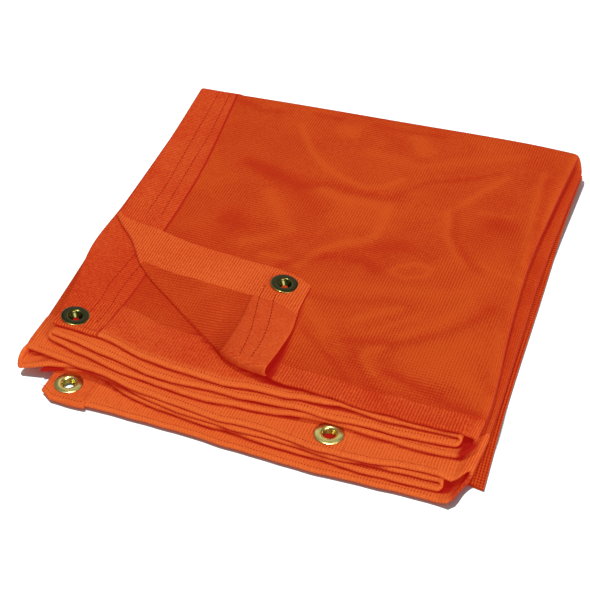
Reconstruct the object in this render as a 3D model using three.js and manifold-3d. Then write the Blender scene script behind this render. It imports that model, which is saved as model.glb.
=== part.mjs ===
// Folded mesh tarp with hemmed edges, corner eyelets and one corner turned back.
// Millimetres, +Z up. X runs along the front edge, Y goes to the back fold.
import * as THREE from 'three';
import { mergeVertices } from 'three/addons/utils/BufferGeometryUtils.js';
import Module from 'manifold-3d';

const wasm = await Module();
wasm.setup();

// Driving dimensions
const MESH_THICKNESS = 1.2;
const HEM_THICKNESS = 2.0;
const HEM_WIDTH = 38;
const HEM_STEP = 2.5;
const EDGE_ROUND = 1.5;
const PLY_PITCH = 3.4;
const LOWEST_PLY = 3.9;
const TOP_PLY = 7;
const PIECE_GAP = 0.3;
const STACK_CENTRE = { x: 172.02, y: 207.45 };
const WORKING_Y = 30;

// Front edge of each ply, mm from the frame's front line, at these places along X
const STATIONS = [0, 50, 100, 150, 200, 250, 300, 345];
const FRONT_EDGES = [
  { ply: 0, y: [9, 8, 8.5, 7, 4.5, 4, 7, 10] },
  { ply: 1, y: [36, 38, 22, 17, 14, 12, 13, 20] },
  { ply: 2, y: [27, 34, 24, 17, 16, 14, 15, 20] },
  { ply: 3, y: [34, 32, 25, 19, 18, 13.5, 17, 20] },
  { ply: 4, y: [54, 41, 33, 30, 34, 37.5, 36, 38] },
  { ply: 5, y: [54, 47, 37, 37, 38, 39, 41, 44] },
  { ply: 6, y: [60, 57, 46, 43, 44.5, 45, 46, 47] },
  { ply: 7, y: [58, 58, 58, 58, 50.5, 45, 43, 48] },
];

// Crease where the top ply's front corner is turned back, left end first
const CREASE = {
  x: [3, 13, 29, 50, 83, 110, 150, 184],
  y: [195, 184, 168, 140, 113, 92, 64, 55],
};

// Side edges, X against Y, from front to back
const SIDE_EDGES = {
  lowRight: { y: [10, 43, 85, 170, 270, 410], x: [340, 346, 344, 340.5, 337, 339] },
  topRight: { y: [40, 80, 170, 250, 330, 400], x: [336.5, 341, 335, 330.5, 333, 336] },
  lowLeftFold: { y: [30, 90, 150, 214, 400], x: [-1.5, -1.5, -6, -2, -5] },
  topLeftFold: { y: [50, 150, 400], x: [13.5, 9, 6] },
  secondLeft: { y: [58, 100, 155, 214, 390], x: [12.5, 9, -0.5, 0, -5] },
  topLeft: { y: [195, 300, 390], x: [3, 0, -6] },
  baseRight: { y: [28, 96, 152, 228, 343, 416], x: [350, 346, 344, 342, 338.5, 338.5] },
};
const LOW_FREE_ENDS = { first: 26, last: 18 };
const HAIRPIN_INSET = { low: 20, top: 10 };
const BEND_REACH = { wrap: 9, hairpin: 2.6 };
const WRAP_SETBACK = { low: 13, top: 3 };
const CORNER_CUT = { x: 26, width: 9, depth: 6 };

// Back fold: Y against X where the plies start to turn over, and how far they bulge
const BACK_FOLD = { x: [0, 33, 180, 290, 336], y: [388, 389, 397, 402, 401] };
const BACK_BULGE = { least: 0.9, perHeight: 0.55 };

// Ripples at the front edge: the plies from fromPly upwards rise together
const RIPPLES = [
  { fromPly: 2, x: 30, width: 40, depth: 60, rise: 0.9 },
  { fromPly: 4, x: 216, width: 15, depth: 55, rise: 2.2 },
  { fromPly: 4, x: 244, width: 22, depth: 40, rise: 1.3 },
  { fromPly: 5, x: 182, width: 16, depth: 45, rise: 1.1 },
  { fromPly: 6, x: 238, width: 20, depth: 50, rise: 1.6 },
  { fromPly: 7, x: 196, width: 24, depth: 45, rise: 1.7 },
  { fromPly: 7, x: 320, width: 18, depth: 30, rise: 0.8 },
];

// Broad swells of the whole stack, full height at the top ply
const SWELLS = [
  { x: 90, y: 320, spreadX: 60, spreadY: 70, rise: 1.2 },
  { x: 215, y: 250, spreadX: 60, spreadY: 55, rise: -1.6 },
  { x: 265, y: 350, spreadX: 50, spreadY: 40, rise: 1.0 },
  { x: 285, y: 120, spreadX: 55, spreadY: 45, rise: 1.1 },
  { x: 110, y: 210, spreadX: 50, spreadY: 35, rise: -1.2 },
  { x: 60, y: 100, spreadX: 40, spreadY: 30, rise: -1.0 },
];
const FRONT_DROOPS = [
  { from: 51, over: 8, drop: 1.4 },
  { from: 13, over: 9, drop: 1.2 },
];

// Flat fold of plain mesh under the stack
const BASE = { thickness: 1.0, low: 0.5, high: 2.0, left: 34, backOut: 9, backInset: 6 };
const BASE_FRONT = { x: [34, 305, 335, 350], y: [54, 54, 32, 28] };
const BACK_WEB = { left: 42, right: 326, thickness: 0.8, lap: 4, reach: 3.4 };

// Turned-back corner of the top ply
const FLAP = {
  left: 4,
  top: { x: [4, 10, 47, 73, 100, 147, 168, 180], y: [198, 193, 184, 178, 175, 170.5, 166, 159] },
  right: { y: [58, 81, 104, 132, 159], x: [184, 185, 185, 181, 180] },
  rightLift: { y: [55, 104, 159], rise: [1.8, 1.6, 1.3] },
  lipOut: 2.2,
  lipDrop: 1.3,
};

// Eyelets: a domed brass shell with a barrel, and a flat washer under the cloth
const EYELET = { hole: 4.75, barrel: 5.3, flange: 10.7, seat: 0.3, dome: 1.0, sides: 28 };
const WASHER = { inner: 5.65, outer: 10.4, thickness: 0.6 };
const EYELET_PLACES = {
  bottom: { x: 42, y: 24 },
  middle: { x: 239, y: 30.5 },
  left: { x: 26.5, y: 71 },
  flap: { x: 161, y: 153 },
};

const CLOTH_COLOUR = 0xcc4417;
const HEM_COLOUR = 0xdd5a2a;
const BRASS_COLOUR = 0xa69f54;

// Plain helpers
const mix = (a, b, t) => a + (b - a) * t;
const smooth = (t) => {
  const c = THREE.MathUtils.clamp(t, 0, 1);
  return c * c * (3 - 2 * c);
};

// Smooth curve through a short table, flat beyond its ends
function follow(keys, values, at) {
  const last = keys.length - 1;
  if (at <= keys[0]) return values[0];
  if (at >= keys[last]) return values[last];
  const i = keys.findIndex((key) => key > at) - 1;
  const slope = (k) => {
    const a = Math.max(k - 1, 0);
    const b = Math.min(k + 1, last);
    return (values[b] - values[a]) / (keys[b] - keys[a]);
  };
  const span = keys[i + 1] - keys[i];
  const t = (at - keys[i]) / span;
  const start = (1 + 2 * t) * (1 - t) ** 2 * values[i];
  const end = t * t * (3 - 2 * t) * values[i + 1];
  const bend = t * (1 - t) ** 2 * slope(i) - t * t * (1 - t) * slope(i + 1);
  return start + end + bend * span;
}

const creaseAt = (x) => follow(CREASE.x, CREASE.y, x);
const sideAt = (name, y) => follow(SIDE_EDGES[name].y, SIDE_EDGES[name].x, y);

function frontOf(ply, x) {
  const edge = follow(STATIONS, FRONT_EDGES[ply].y, x);
  const creaseEnd = CREASE.x[CREASE.x.length - 1];
  if (ply === TOP_PLY && x < creaseEnd) return creaseAt(x);
  if (ply > 0) return edge;
  return edge + CORNER_CUT.depth * THREE.MathUtils.clamp(1 - (x - CORNER_CUT.x) / CORNER_CUT.width, 0, 1);
}

const backOf = (x) => follow(BACK_FOLD.x, BACK_FOLD.y, x);

// Height of the middle of a ply. The ply number may be a fraction inside a bend
function heightOf(ply, x, y) {
  let z = LOWEST_PLY + ply * PLY_PITCH;
  for (const r of RIPPLES) {
    const share = THREE.MathUtils.clamp(ply - r.fromPly + 1, 0, 1);
    const back = Math.max(y - WORKING_Y, 0) / r.depth;
    z += share * r.rise * Math.exp(-(((x - r.x) / r.width) ** 2) - back ** 2);
  }
  for (const s of SWELLS) {
    const fall = ((x - s.x) / s.spreadX) ** 2 + ((y - s.y) / s.spreadY) ** 2;
    z += (ply / TOP_PLY) * s.rise * Math.exp(-fall);
  }
  for (const d of FRONT_DROOPS) z -= d.drop * smooth((d.from - y) / d.over);
  return z;
}

// The cloth is folded in four across X, then in half at the back: the plies of the
// low arm run first to last in the order given, and the top arm mirrors them
const ARMS = {
  low: { plies: [0, 3, 2, 1] },
  top: { plies: [7, 4, 5, 6] },
};

function runEnds(arm, run, y) {
  const low = arm === 'low';
  const wrap = run < 2;
  const reach = wrap ? BEND_REACH.wrap : BEND_REACH.hairpin;
  const skin = MESH_THICKNESS / 2;
  const right = sideAt(low ? 'lowRight' : 'topRight', y) - (wrap ? 0 : HAIRPIN_INSET[arm]);
  let left = sideAt(low ? 'lowLeftFold' : 'topLeftFold', y) + skin + BEND_REACH.hairpin;
  if (run === 0) left = low ? LOW_FREE_ENDS.first : sideAt('topLeft', y);
  if (run === 3) left = low ? LOW_FREE_ENDS.last : sideAt('secondLeft', y);
  return { right: right - skin - reach, left, rightReach: reach, leftReach: BEND_REACH.hairpin };
}

// A place along the back-and-forth path: a share of a run, or a share of a bend
function placeOn(arm, spot, y) {
  const plies = ARMS[arm].plies;
  const rightward = spot.run % 2 === 0;
  const ends = runEnds(arm, spot.run, y);
  if (spot.bend === undefined) {
    const x = rightward ? mix(ends.left, ends.right, spot.along) : mix(ends.right, ends.left, spot.along);
    return { x, ply: plies[spot.run] };
  }
  const angle = spot.bend * Math.PI;
  const from = plies[spot.run];
  const to = plies[spot.run + 1];
  const next = runEnds(arm, spot.run + 1, y);
  const side = rightward ? 'right' : 'left';
  const out = (rightward ? ends.rightReach : -ends.leftReach) * Math.sin(angle);
  return {
    x: mix(ends[side], next[side], spot.bend) + out,
    ply: mix(from, to, (1 - Math.cos(angle)) / 2),
  };
}

function frontAt(arm, spot) {
  const plies = ARMS[arm].plies;
  const x = placeOn(arm, spot, WORKING_Y).x;
  const here = frontOf(plies[spot.run], x);
  if (spot.bend === undefined) return here;
  const setback = spot.run === 0 ? WRAP_SETBACK[arm] * Math.sin(spot.bend * Math.PI) : 0;
  return mix(here, frontOf(plies[spot.run + 1], x), smooth(spot.bend)) + setback;
}

// Middle surface of one arm: from its front edge to the back fold
function armPoint(arm, spot, fromFront, share) {
  const front = frontAt(arm, spot);
  const back = backOf(placeOn(arm, spot, WORKING_Y).x);
  const y = mix(front + fromFront, back, share);
  const place = placeOn(arm, spot, y);
  return new THREE.Vector3(place.x, y, heightOf(place.ply, place.x, y));
}

const HEM_ROWS = [0, EDGE_ROUND, 16, 29, HEM_WIDTH, HEM_WIDTH + HEM_STEP];
const BACK_SHARES = [0.3, 0.55, 0.8, 1];
const ARM_ROWS = HEM_ROWS.length + BACK_SHARES.length;
const FOLD_ANGLES = [1, 2, 3, 4, 5].map((k) => (k * Math.PI) / 6);
const ACROSS_ROWS = 2 * ARM_ROWS + FOLD_ANGLES.length;

function armRow(arm, spot, row) {
  if (row < HEM_ROWS.length) return armPoint(arm, spot, HEM_ROWS[row], 0);
  return armPoint(arm, spot, HEM_ROWS[HEM_ROWS.length - 1], BACK_SHARES[row - HEM_ROWS.length]);
}

// One crossing of the cloth: low arm, back fold, top arm
function crossing(spot, row) {
  if (row < ARM_ROWS) return armRow('low', spot, row);
  const foldRow = row - ARM_ROWS;
  if (foldRow >= FOLD_ANGLES.length) return armRow('top', spot, ACROSS_ROWS - 1 - row);
  const low = armRow('low', spot, ARM_ROWS - 1);
  const top = armRow('top', spot, ARM_ROWS - 1);
  const angle = FOLD_ANGLES[foldRow];
  const turn = (1 - Math.cos(angle)) / 2;
  const bulge = BACK_BULGE.least + (BACK_BULGE.perHeight * (top.z - low.z)) / 2;
  return low.clone().lerp(top, turn).add(new THREE.Vector3(0, bulge * Math.sin(angle), 0));
}

// Spots along the path, with lines where an eyelet strip is cut from the hem
const STRIP_SPOTS = {
  bottom: { run: 0, arm: 'low', from: 0, to: 36 / 311 },
  middle: { run: 1, arm: 'low', from: 78 / 336, to: 118 / 336 },
  left: { run: 3, arm: 'top', from: 271 / 311, to: 1 },
};
const RUN_SHARES = [
  [0, 18 / 311, 36 / 311, 38.5 / 311, 0.24, 0.36, 0.46, 0.55, 0.63, 0.71, 0.8, 0.9, 1],
  [0, 0.12, 78 / 336, 98 / 336, 118 / 336, 0.43, 0.5, 0.6, 0.7, 0.8, 0.9, 1],
  [0, 0.1, 0.2, 0.3, 0.4, 0.5, 0.56, 0.62, 0.68, 0.75, 0.82, 0.91, 1],
  [0, 0.09, 0.18, 0.25, 0.31, 0.37, 0.44, 0.52, 0.6, 0.69, 0.78, 268.5 / 311, 271 / 311, 0.94, 1],
];
const BEND_SHARES = [1, 2, 3, 4, 5].map((i) => i / 6);

function pathSpots() {
  const spots = [];
  RUN_SHARES.forEach((shares, run) => {
    for (const along of shares) spots.push({ run, along });
    if (run < RUN_SHARES.length - 1) {
      for (const bend of BEND_SHARES) spots.push({ run, bend });
    }
  });
  return spots;
}

// Closed body from a grid of middle points, each with its thickness
function thickSheet(rows, columns, middle, thickness, keep = () => true) {
  const grid = [];
  for (let i = 0; i < rows; i += 1) {
    grid.push(Array.from({ length: columns }, (_, j) => middle(i, j)));
  }
  const positions = [];
  const index = [];
  const number = new Map();
  const vertex = (i, j, side) => {
    const key = `${i},${j},${side}`;
    if (!number.has(key)) {
      const alongI = grid[Math.min(i + 1, rows - 1)][j].clone().sub(grid[Math.max(i - 1, 0)][j]);
      const alongJ = grid[i][Math.min(j + 1, columns - 1)].clone().sub(grid[i][Math.max(j - 1, 0)]);
      const normal = alongI.cross(alongJ).normalize();
      const p = grid[i][j].clone().addScaledVector(normal, (side * thickness(i, j)) / 2);
      number.set(key, positions.length / 3);
      positions.push(p.x, p.y, p.z);
    }
    return number.get(key);
  };
  const quad = (a, b, c, d) => index.push(a, b, c, a, c, d);
  const kept = (i, j) => i >= 0 && j >= 0 && i < rows - 1 && j < columns - 1 && keep(i, j);
  for (let i = 0; i < rows - 1; i += 1) {
    for (let j = 0; j < columns - 1; j += 1) {
      if (!kept(i, j)) continue;
      const top = [[i, j], [i + 1, j], [i + 1, j + 1], [i, j + 1]].map(([a, b]) => vertex(a, b, 1));
      const low = [[i, j], [i + 1, j], [i + 1, j + 1], [i, j + 1]].map(([a, b]) => vertex(a, b, -1));
      quad(...top);
      quad(low[3], low[2], low[1], low[0]);
      if (!kept(i, j - 1)) quad(low[0], low[1], top[1], top[0]);
      if (!kept(i + 1, j)) quad(low[1], low[2], top[2], top[1]);
      if (!kept(i, j + 1)) quad(low[2], low[3], top[3], top[2]);
      if (!kept(i - 1, j)) quad(low[3], low[0], top[0], top[3]);
    }
  }
  const geometry = new THREE.BufferGeometry();
  geometry.setAttribute('position', new THREE.Float32BufferAttribute(positions, 3));
  geometry.setIndex(index);
  return facingOut(geometry);
}

function facingOut(source) {
  const geometry = source.clone();
  geometry.deleteAttribute('normal');
  geometry.deleteAttribute('uv');
  const merged = mergeVertices(geometry, 1e-4);
  const place = merged.getAttribute('position');
  const index = Array.from(merged.getIndex().array);
  const corner = (k) => new THREE.Vector3().fromBufferAttribute(place, index[k]);
  let volume = 0;
  for (let k = 0; k < index.length; k += 3) {
    volume += corner(k).dot(corner(k + 1).cross(corner(k + 2)));
  }
  if (volume < 0) index.reverse();
  merged.setIndex(index);
  return merged;
}

// Joins and cuts
function toSolid(geometry) {
  return new wasm.Manifold(new wasm.Mesh({
    numProp: 3,
    vertProperties: new Float32Array(geometry.getAttribute('position').array),
    triVerts: new Uint32Array(geometry.getIndex().array),
  }));
}

function toGeometry(solid) {
  const mesh = solid.getMesh();
  const geometry = new THREE.BufferGeometry();
  geometry.setAttribute('position', new THREE.BufferAttribute(mesh.vertProperties.slice(), 3));
  geometry.setIndex(Array.from(mesh.triVerts));
  return geometry;
}

// The folded cloth: eight plies from one doubled sheet, folded back and forth
function foldedStack() {
  const spots = pathSpots();
  const inStrip = (i, j) => Object.values(STRIP_SPOTS).some((strip) => {
    const spot = spots[i];
    const next = spots[i + 1];
    const onRun = spot.run === strip.run && spot.bend === undefined && next.bend === undefined;
    const between = spot.along > strip.from - 1e-6 && next.along < strip.to + 1e-6;
    const hemCell = HEM_ROWS.indexOf(HEM_WIDTH);
    const row = strip.arm === 'low' ? j : ACROSS_ROWS - 2 - j;
    return onRun && between && row < hemCell;
  });
  const thickness = (i, j) => {
    const spot = spots[i];
    const row = Math.min(j, ACROSS_ROWS - 1 - j);
    const firstHem = spot.run === 0 && spot.along <= STRIP_SPOTS.bottom.to;
    const lastHem = spot.run === 3 && spot.along >= STRIP_SPOTS.left.from;
    if (row === 0) return MESH_THICKNESS;
    const inHem = row <= HEM_ROWS.indexOf(HEM_WIDTH) || firstHem || lastHem;
    return inHem ? HEM_THICKNESS : MESH_THICKNESS;
  };
  const middle = (i, j) => crossing(spots[i], j);
  return thickSheet(spots.length, ACROSS_ROWS, middle, thickness, (i, j) => !inStrip(i, j));
}

const baseFront = (x) => follow(BASE_FRONT.x, BASE_FRONT.y, x);

// Even spacing from a to b
const spaced = (a, b, count) => Array.from({ length: count }, (_, k) => mix(a, b, k / (count - 1)));

function baseFold() {
  const acrossX = spaced(0, 1, 12);
  const alongY = spaced(0, 1, 9);
  const backY = (x) => backOf(x) + BASE.backOut;
  const lowLayer = thickSheet(acrossX.length, alongY.length, (i, j) => {
    const nominal = mix(BASE.left, 348, acrossX[i]);
    const y = mix(baseFront(nominal), backY(nominal), alongY[j]);
    const x = mix(BASE.left, sideAt('baseRight', y) - 2, acrossX[i]);
    return new THREE.Vector3(x, y, BASE.low);
  }, () => BASE.thickness);
  const half = (BASE.high - BASE.low) / 2;
  const turns = [0, 0.2, 0.4, 0.6, 0.8, 1].map((t) => t * Math.PI);
  const path = [{ x: -12, z: -half }, ...turns.map((a) => ({ x: half * Math.sin(a), z: -half * Math.cos(a) }))];
  const flat = acrossX.slice(1).map((t) => ({ share: t, z: half }));
  const highLayer = thickSheet(path.length + flat.length, alongY.length, (i, j) => {
    const step = i < path.length ? path[i] : flat[i - path.length];
    const nominal = step.share === undefined ? 348 : mix(348, BASE.left, step.share);
    const y = mix(baseFront(nominal), backOf(200) - BASE.backInset, alongY[j]);
    const right = sideAt('baseRight', y) - half - BASE.thickness / 2;
    const x = step.share === undefined ? right + step.x : mix(right, BASE.left + 2, step.share);
    return new THREE.Vector3(x, y, BASE.low + half + step.z);
  }, (i) => (i === 0 ? BACK_WEB.thickness : BASE.thickness));
  return toSolid(lowLayer).add(toSolid(highLayer));
}

// Where the lowest ply turns under itself at the back
function backWeb() {
  const acrossX = spaced(BACK_WEB.left, BACK_WEB.right, 12);
  const turns = spaced(0, Math.PI, 7);
  return toSolid(thickSheet(acrossX.length, turns.length + 2, (i, j) => {
    const x = acrossX[i];
    const seam = backOf(x) - 1;
    const top = heightOf(0, x, seam);
    const middle = (top + BASE.low) / 2;
    const rise = (top - BASE.low) / 2;
    if (j === 0) return new THREE.Vector3(x, seam - BACK_WEB.lap, BASE.low);
    if (j === turns.length + 1) return new THREE.Vector3(x, seam - BACK_WEB.lap, top);
    const angle = turns[j - 1];
    const y = seam + BACK_WEB.reach * Math.sin(angle);
    return new THREE.Vector3(x, y, middle - rise * Math.cos(angle));
  }, () => BACK_WEB.thickness));
}

function clothBody() {
  return toGeometry(toSolid(foldedStack()).add(baseFold()).add(backWeb()));
}

// Hem strips that carry an eyelet, cut from the cloth's own surface
function stripPoint(name, u, fromFront) {
  const strip = STRIP_SPOTS[name];
  return armPoint(strip.arm, { run: strip.run, along: u }, fromFront, 0);
}

function stripSolid(name) {
  const strip = STRIP_SPOTS[name];
  const length = stripPoint(name, strip.from, 0).distanceTo(stripPoint(name, strip.to, 0));
  const inset = (PIECE_GAP / length) * (strip.to - strip.from);
  const start = strip.from === 0 ? 0 : strip.from + inset;
  const end = strip.to === 1 ? 1 : strip.to - inset;
  const shares = spaced(start, end, 5);
  const depths = [0, EDGE_ROUND, 13, 25, HEM_WIDTH - PIECE_GAP];
  const middle = (i, j) => stripPoint(name, shares[i], depths[j]);
  const thickness = (i, j) => (j === 0 ? MESH_THICKNESS : HEM_THICKNESS);
  return toSolid(thickSheet(shares.length, depths.length, middle, thickness));
}

// The turned-back corner, lying on the top ply
function flapHeight(x, y) {
  const clear = HEM_THICKNESS + PIECE_GAP + 0.05;
  const band = smooth((x - 126) / 20);
  return heightOf(TOP_PLY, x, y) + clear + band * follow(FLAP.rightLift.y, FLAP.rightLift.rise, y);
}

function flapSolid() {
  const rightNominal = FLAP.top.x[FLAP.top.x.length - 1];
  const shares = [...spaced(0, 0.76, 11), 0.785, 0.8, 0.86, 0.93, 0.99, 1];
  const hemRows = [0, EDGE_ROUND, 19, HEM_WIDTH, HEM_WIDTH + HEM_STEP];
  const innerRows = [0.3, 0.6, 0.85, 0.97];
  const columns = hemRows.length + innerRows.length + 1;
  const outward = new THREE.Vector3(-0.61, -0.79, 0);
  const middle = (i, j) => {
    const nominal = mix(FLAP.left, rightNominal, shares[i]);
    const top = follow(FLAP.top.x, FLAP.top.y, nominal);
    const bottom = creaseAt(nominal);
    const height = top - bottom;
    const scale = Math.min(1, height / 58);
    const lastHem = hemRows[hemRows.length - 1] * scale;
    let down = height;
    if (j < hemRows.length) down = hemRows[j] * scale;
    else if (j < columns - 1) down = mix(lastHem, height, innerRows[j - hemRows.length]);
    let y = top - down;
    let x = mix(FLAP.left, follow(FLAP.right.y, FLAP.right.x, y), shares[i]);
    let z = flapHeight(x, y);
    if (j === columns - 1) {
      x += outward.x * FLAP.lipOut;
      y += outward.y * FLAP.lipOut;
      z -= FLAP.lipDrop;
    }
    return new THREE.Vector3(x, y, z);
  };
  const thickness = (i, j) => {
    if (j === 0 || i === shares.length - 1) return MESH_THICKNESS;
    const rightBand = shares[i] >= 0.785;
    return j <= hemRows.indexOf(HEM_WIDTH) || rightBand ? HEM_THICKNESS : MESH_THICKNESS;
  };
  return toSolid(thickSheet(shares.length, columns, middle, thickness));
}

// Height of the strip's middle under an eyelet
function eyeletHeight(name) {
  const place = EYELET_PLACES[name];
  if (name === 'flap') return flapHeight(place.x, place.y);
  return heightOf(ARMS[STRIP_SPOTS[name].arm].plies[STRIP_SPOTS[name].run], place.x, place.y);
}

function pierced(solid, name) {
  const place = EYELET_PLACES[name];
  const radius = EYELET.barrel + PIECE_GAP;
  const punch = new THREE.CylinderGeometry(radius, radius, 16, EYELET.sides);
  punch.rotateX(Math.PI / 2);
  punch.translate(place.x, place.y, eyeletHeight(name));
  return toGeometry(solid.subtract(toSolid(facingOut(punch))));
}

// Lathe profiles, radius and height from the strip's middle
function turned(profile, name) {
  const points = profile.map(([r, z]) => new THREE.Vector2(r, z));
  points.push(points[0].clone());
  const geometry = new THREE.LatheGeometry(points, EYELET.sides);
  geometry.rotateX(Math.PI / 2);
  const place = EYELET_PLACES[name];
  geometry.translate(place.x, place.y, eyeletHeight(name));
  return facingOut(geometry);
}

const UNDERSIDE = -HEM_THICKNESS / 2 - EYELET.seat;

function eyeletShell(name) {
  const seat = HEM_THICKNESS / 2 + EYELET.seat;
  const foot = UNDERSIDE - WASHER.thickness;
  return turned([
    [EYELET.hole, foot],
    [EYELET.barrel, foot],
    [EYELET.barrel, seat],
    [EYELET.flange - 0.2, seat],
    [EYELET.flange, seat + 0.35],
    [EYELET.flange - 0.6, seat + 0.8],
    [EYELET.flange - 2.6, seat + EYELET.dome],
    [EYELET.hole + 1.5, seat + EYELET.dome - 0.1],
    [EYELET.hole + 0.5, seat + 0.65],
    [EYELET.hole, seat + 0.1],
  ], name);
}

function eyeletWasher(name) {
  return turned([
    [WASHER.inner, UNDERSIDE - WASHER.thickness],
    [WASHER.outer, UNDERSIDE - WASHER.thickness],
    [WASHER.outer, UNDERSIDE],
    [WASHER.inner, UNDERSIDE],
  ], name);
}

// Scene graph
const tarp = new THREE.Group();
tarp.position.set(-STACK_CENTRE.x, -STACK_CENTRE.y, 0);

const finish = (colour, roughness, metalness) =>
  new THREE.MeshStandardMaterial({ color: colour, roughness, metalness });

function addPiece(name, geometry, material) {
  const piece = new THREE.Mesh(geometry, material);
  piece.name = name;
  tarp.add(piece);
}

addPiece('folded_cloth', clothBody(), finish(CLOTH_COLOUR, 0.85, 0));
addPiece('turned_corner', pierced(flapSolid(), 'flap'), finish(HEM_COLOUR, 0.85, 0));
for (const name of Object.keys(STRIP_SPOTS)) {
  addPiece(`hem_strip_${name}`, pierced(stripSolid(name), name), finish(HEM_COLOUR, 0.85, 0));
}
for (const name of Object.keys(EYELET_PLACES)) {
  addPiece(`eyelet_${name}`, eyeletShell(name), finish(BRASS_COLOUR, 0.35, 1));
  addPiece(`washer_${name}`, eyeletWasher(name), finish(BRASS_COLOUR, 0.4, 1));
}

export default tarp;
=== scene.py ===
"""Folded mesh tarp: the cloth, hems, stitches and eyelets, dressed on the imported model."""

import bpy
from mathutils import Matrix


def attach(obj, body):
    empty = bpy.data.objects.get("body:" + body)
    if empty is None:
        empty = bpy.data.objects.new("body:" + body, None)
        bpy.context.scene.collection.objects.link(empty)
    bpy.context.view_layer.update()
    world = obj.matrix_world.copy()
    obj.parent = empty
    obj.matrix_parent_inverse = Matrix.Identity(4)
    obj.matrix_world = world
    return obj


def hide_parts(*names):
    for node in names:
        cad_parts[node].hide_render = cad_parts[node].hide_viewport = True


bl_info = {
    "name": "Folded Mesh Tarp",
    "version": (1, 0, 0),
    "blender": (4, 5, 0),
    "location": "View3D > Sidebar > Tarp",
    "description": "Builds a folded mesh tarp with hems, stitching and brass eyelets",
    "category": "Object",
}

import math

import bmesh
import bpy
import numpy as np
from mathutils import Vector

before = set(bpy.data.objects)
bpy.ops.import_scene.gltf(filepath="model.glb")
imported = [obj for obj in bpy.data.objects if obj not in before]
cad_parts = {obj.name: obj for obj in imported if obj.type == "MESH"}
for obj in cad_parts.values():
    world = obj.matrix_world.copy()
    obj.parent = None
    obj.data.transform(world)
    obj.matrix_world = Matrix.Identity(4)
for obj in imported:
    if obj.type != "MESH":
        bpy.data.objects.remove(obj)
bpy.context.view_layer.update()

# Plan sizes are in millimetres from the same corner as the solids are drawn from
MM = 0.001
STACK_CENTRE = np.array([172.02, 207.45, 0.0])
# Stands for the distance to an edge that isn't near
FAR = 999.0

# Cloth
PLY_PITCH = 3.4
LOWEST_PLY = 3.9
TOP_PLY = 7
SOLID_SKIN = 0.6
MESH_THICKNESS = 0.5
HEM_THICKNESS = 1.6
HEM_WIDTH = 38.0
HEM_STEP = 0.7
TOP_FRONT_HEM = 19.0
TOP_FRONT_FADE = {"share": 0.6, "ramp": (6, 12)}
EDGE_ROUND = 1.5
EDGE_THINNING = 0.92
ROLLED_EDGE = {"thickness": 3.15, "flat": 1.0, "over": 7.0}
PIECE_GAP = 0.1
# Edges sharper than these angles aren't shaded smooth
SHARP = {"cloth": 42, "brass": 50}
# Y of the front part of the plies, where the X of their front and back edges is taken
WORKING_Y = 30.0

# A curve in these tables is two lists: where it is known, and its value there.
# A ramp is where a change starts, and how far it takes.

# Front edge of each ply, lowest first: Y at these stations along X
STATIONS = [0, 50, 100, 150, 200, 250, 300, 345]
FRONT_EDGES = [
    [9, 8, 8.5, 7, 4.5, 4, 6, 4.5],
    [20, 37, 22, 17, 14, 12, 11, 15],
    [25, 34, 24, 17, 16, 14, 17, 17.5],
    [39, 33, 25, 19, 18, 13.5, 19, 19],
    [54, 41, 33, 30, 34, 37.5, 34.5, 39],
    [54, 47, 37, 37, 38, 39, 41, 44],
    [60, 57, 46, 43, 44.5, 47, 47, 50],
    [58, 58, 58, 58, 51.5, 49, 48.5, 50],
]
# Small waves along the front edges
WAVES = {"size": 0.55, "lowest": 0.3, "lengths": [61, 37, 23]}
CORNER_CUT = {"x": 26, "width": 9, "depth": 6}

# Crease where the top ply's front corner is turned back: Y along X
CREASE = ([3, 13, 29, 50, 83, 110, 150, 184], [195, 184, 168, 140, 113, 92, 64, 55])
CREASE_END = 184

# Side edges: X along Y, from front to back
SIDE_EDGES = {
    "low_right": ([8, 22, 43, 85, 170, 270, 410], [339.5, 338.5, 341, 343, 340, 337, 339]),
    "top_right": ([40, 80, 170, 250, 330, 400], [336.5, 340, 332.5, 328.5, 330.5, 334]),
    "low_left_fold": ([30, 90, 150, 214, 400], [-1.5, -1.5, -6, -2, -5]),
    "top_left_fold": ([50, 150, 400], [13.5, 9, 6]),
    "second_left": ([58, 100, 155, 214, 390], [12.5, 9, -0.5, 0, -5]),
    "top_left": ([195, 300, 390], [3, 0, -6]),
    "base_right": ([28, 96, 152, 228, 343, 416], [350, 346, 344, 342, 338.5, 338.5]),
}
LOW_FREE_ENDS = {0: 26, 3: 18}
TOP_FREE_ENDS = {0: "top_left", 3: "second_left"}
HAIRPIN_INSET = {"low": 15, "top": 10}
WRAP_SQUARENESS = 0.6
BEND_REACH = {"wrap": 9, "hairpin": 2.6}
WRAP_SETBACK = {"low": 20, "top": 3}

# Inner edge of the side hem on each run that has a free end: X along Y
SIDE_HEMS = {
    ("top", 0): ([185, 228, 286, 391], [47, 46, 42, 28]),
    ("top", 3): ([60, 84, 113, 140, 200, 390], [50, 52, 54, 54, 50, 35]),
    ("low", 0): ([10, 390], [62, 62]),
    ("low", 3): ([10, 390], [56, 56]),
}

# Back fold: Y where the plies start to turn over, and how far they bulge
BACK_FOLD = ([0, 33, 180, 290, 336], [388, 389, 397, 402, 401])
BACK_BULGE = {"least": 0.9, "per_height": 0.55, "full_until": 0.25, "over": 0.4}

# Ripples at the front edge: the lowest ply that rises, X, width, depth and rise
RIPPLES = [
    (2, 30, 40, 60, 0.9), (4, 214, 11, 55, 2.4), (4, 246, 18, 40, 1.0), (5, 184, 14, 45, 1.0),
    (6, 236, 13, 50, 2.2), (7, 186, 26, 34, 3.2), (3, 66, 14, 30, 0.7), (5, 96, 12, 26, 0.7),
    (7, 320, 18, 30, 0.8),
]
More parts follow.
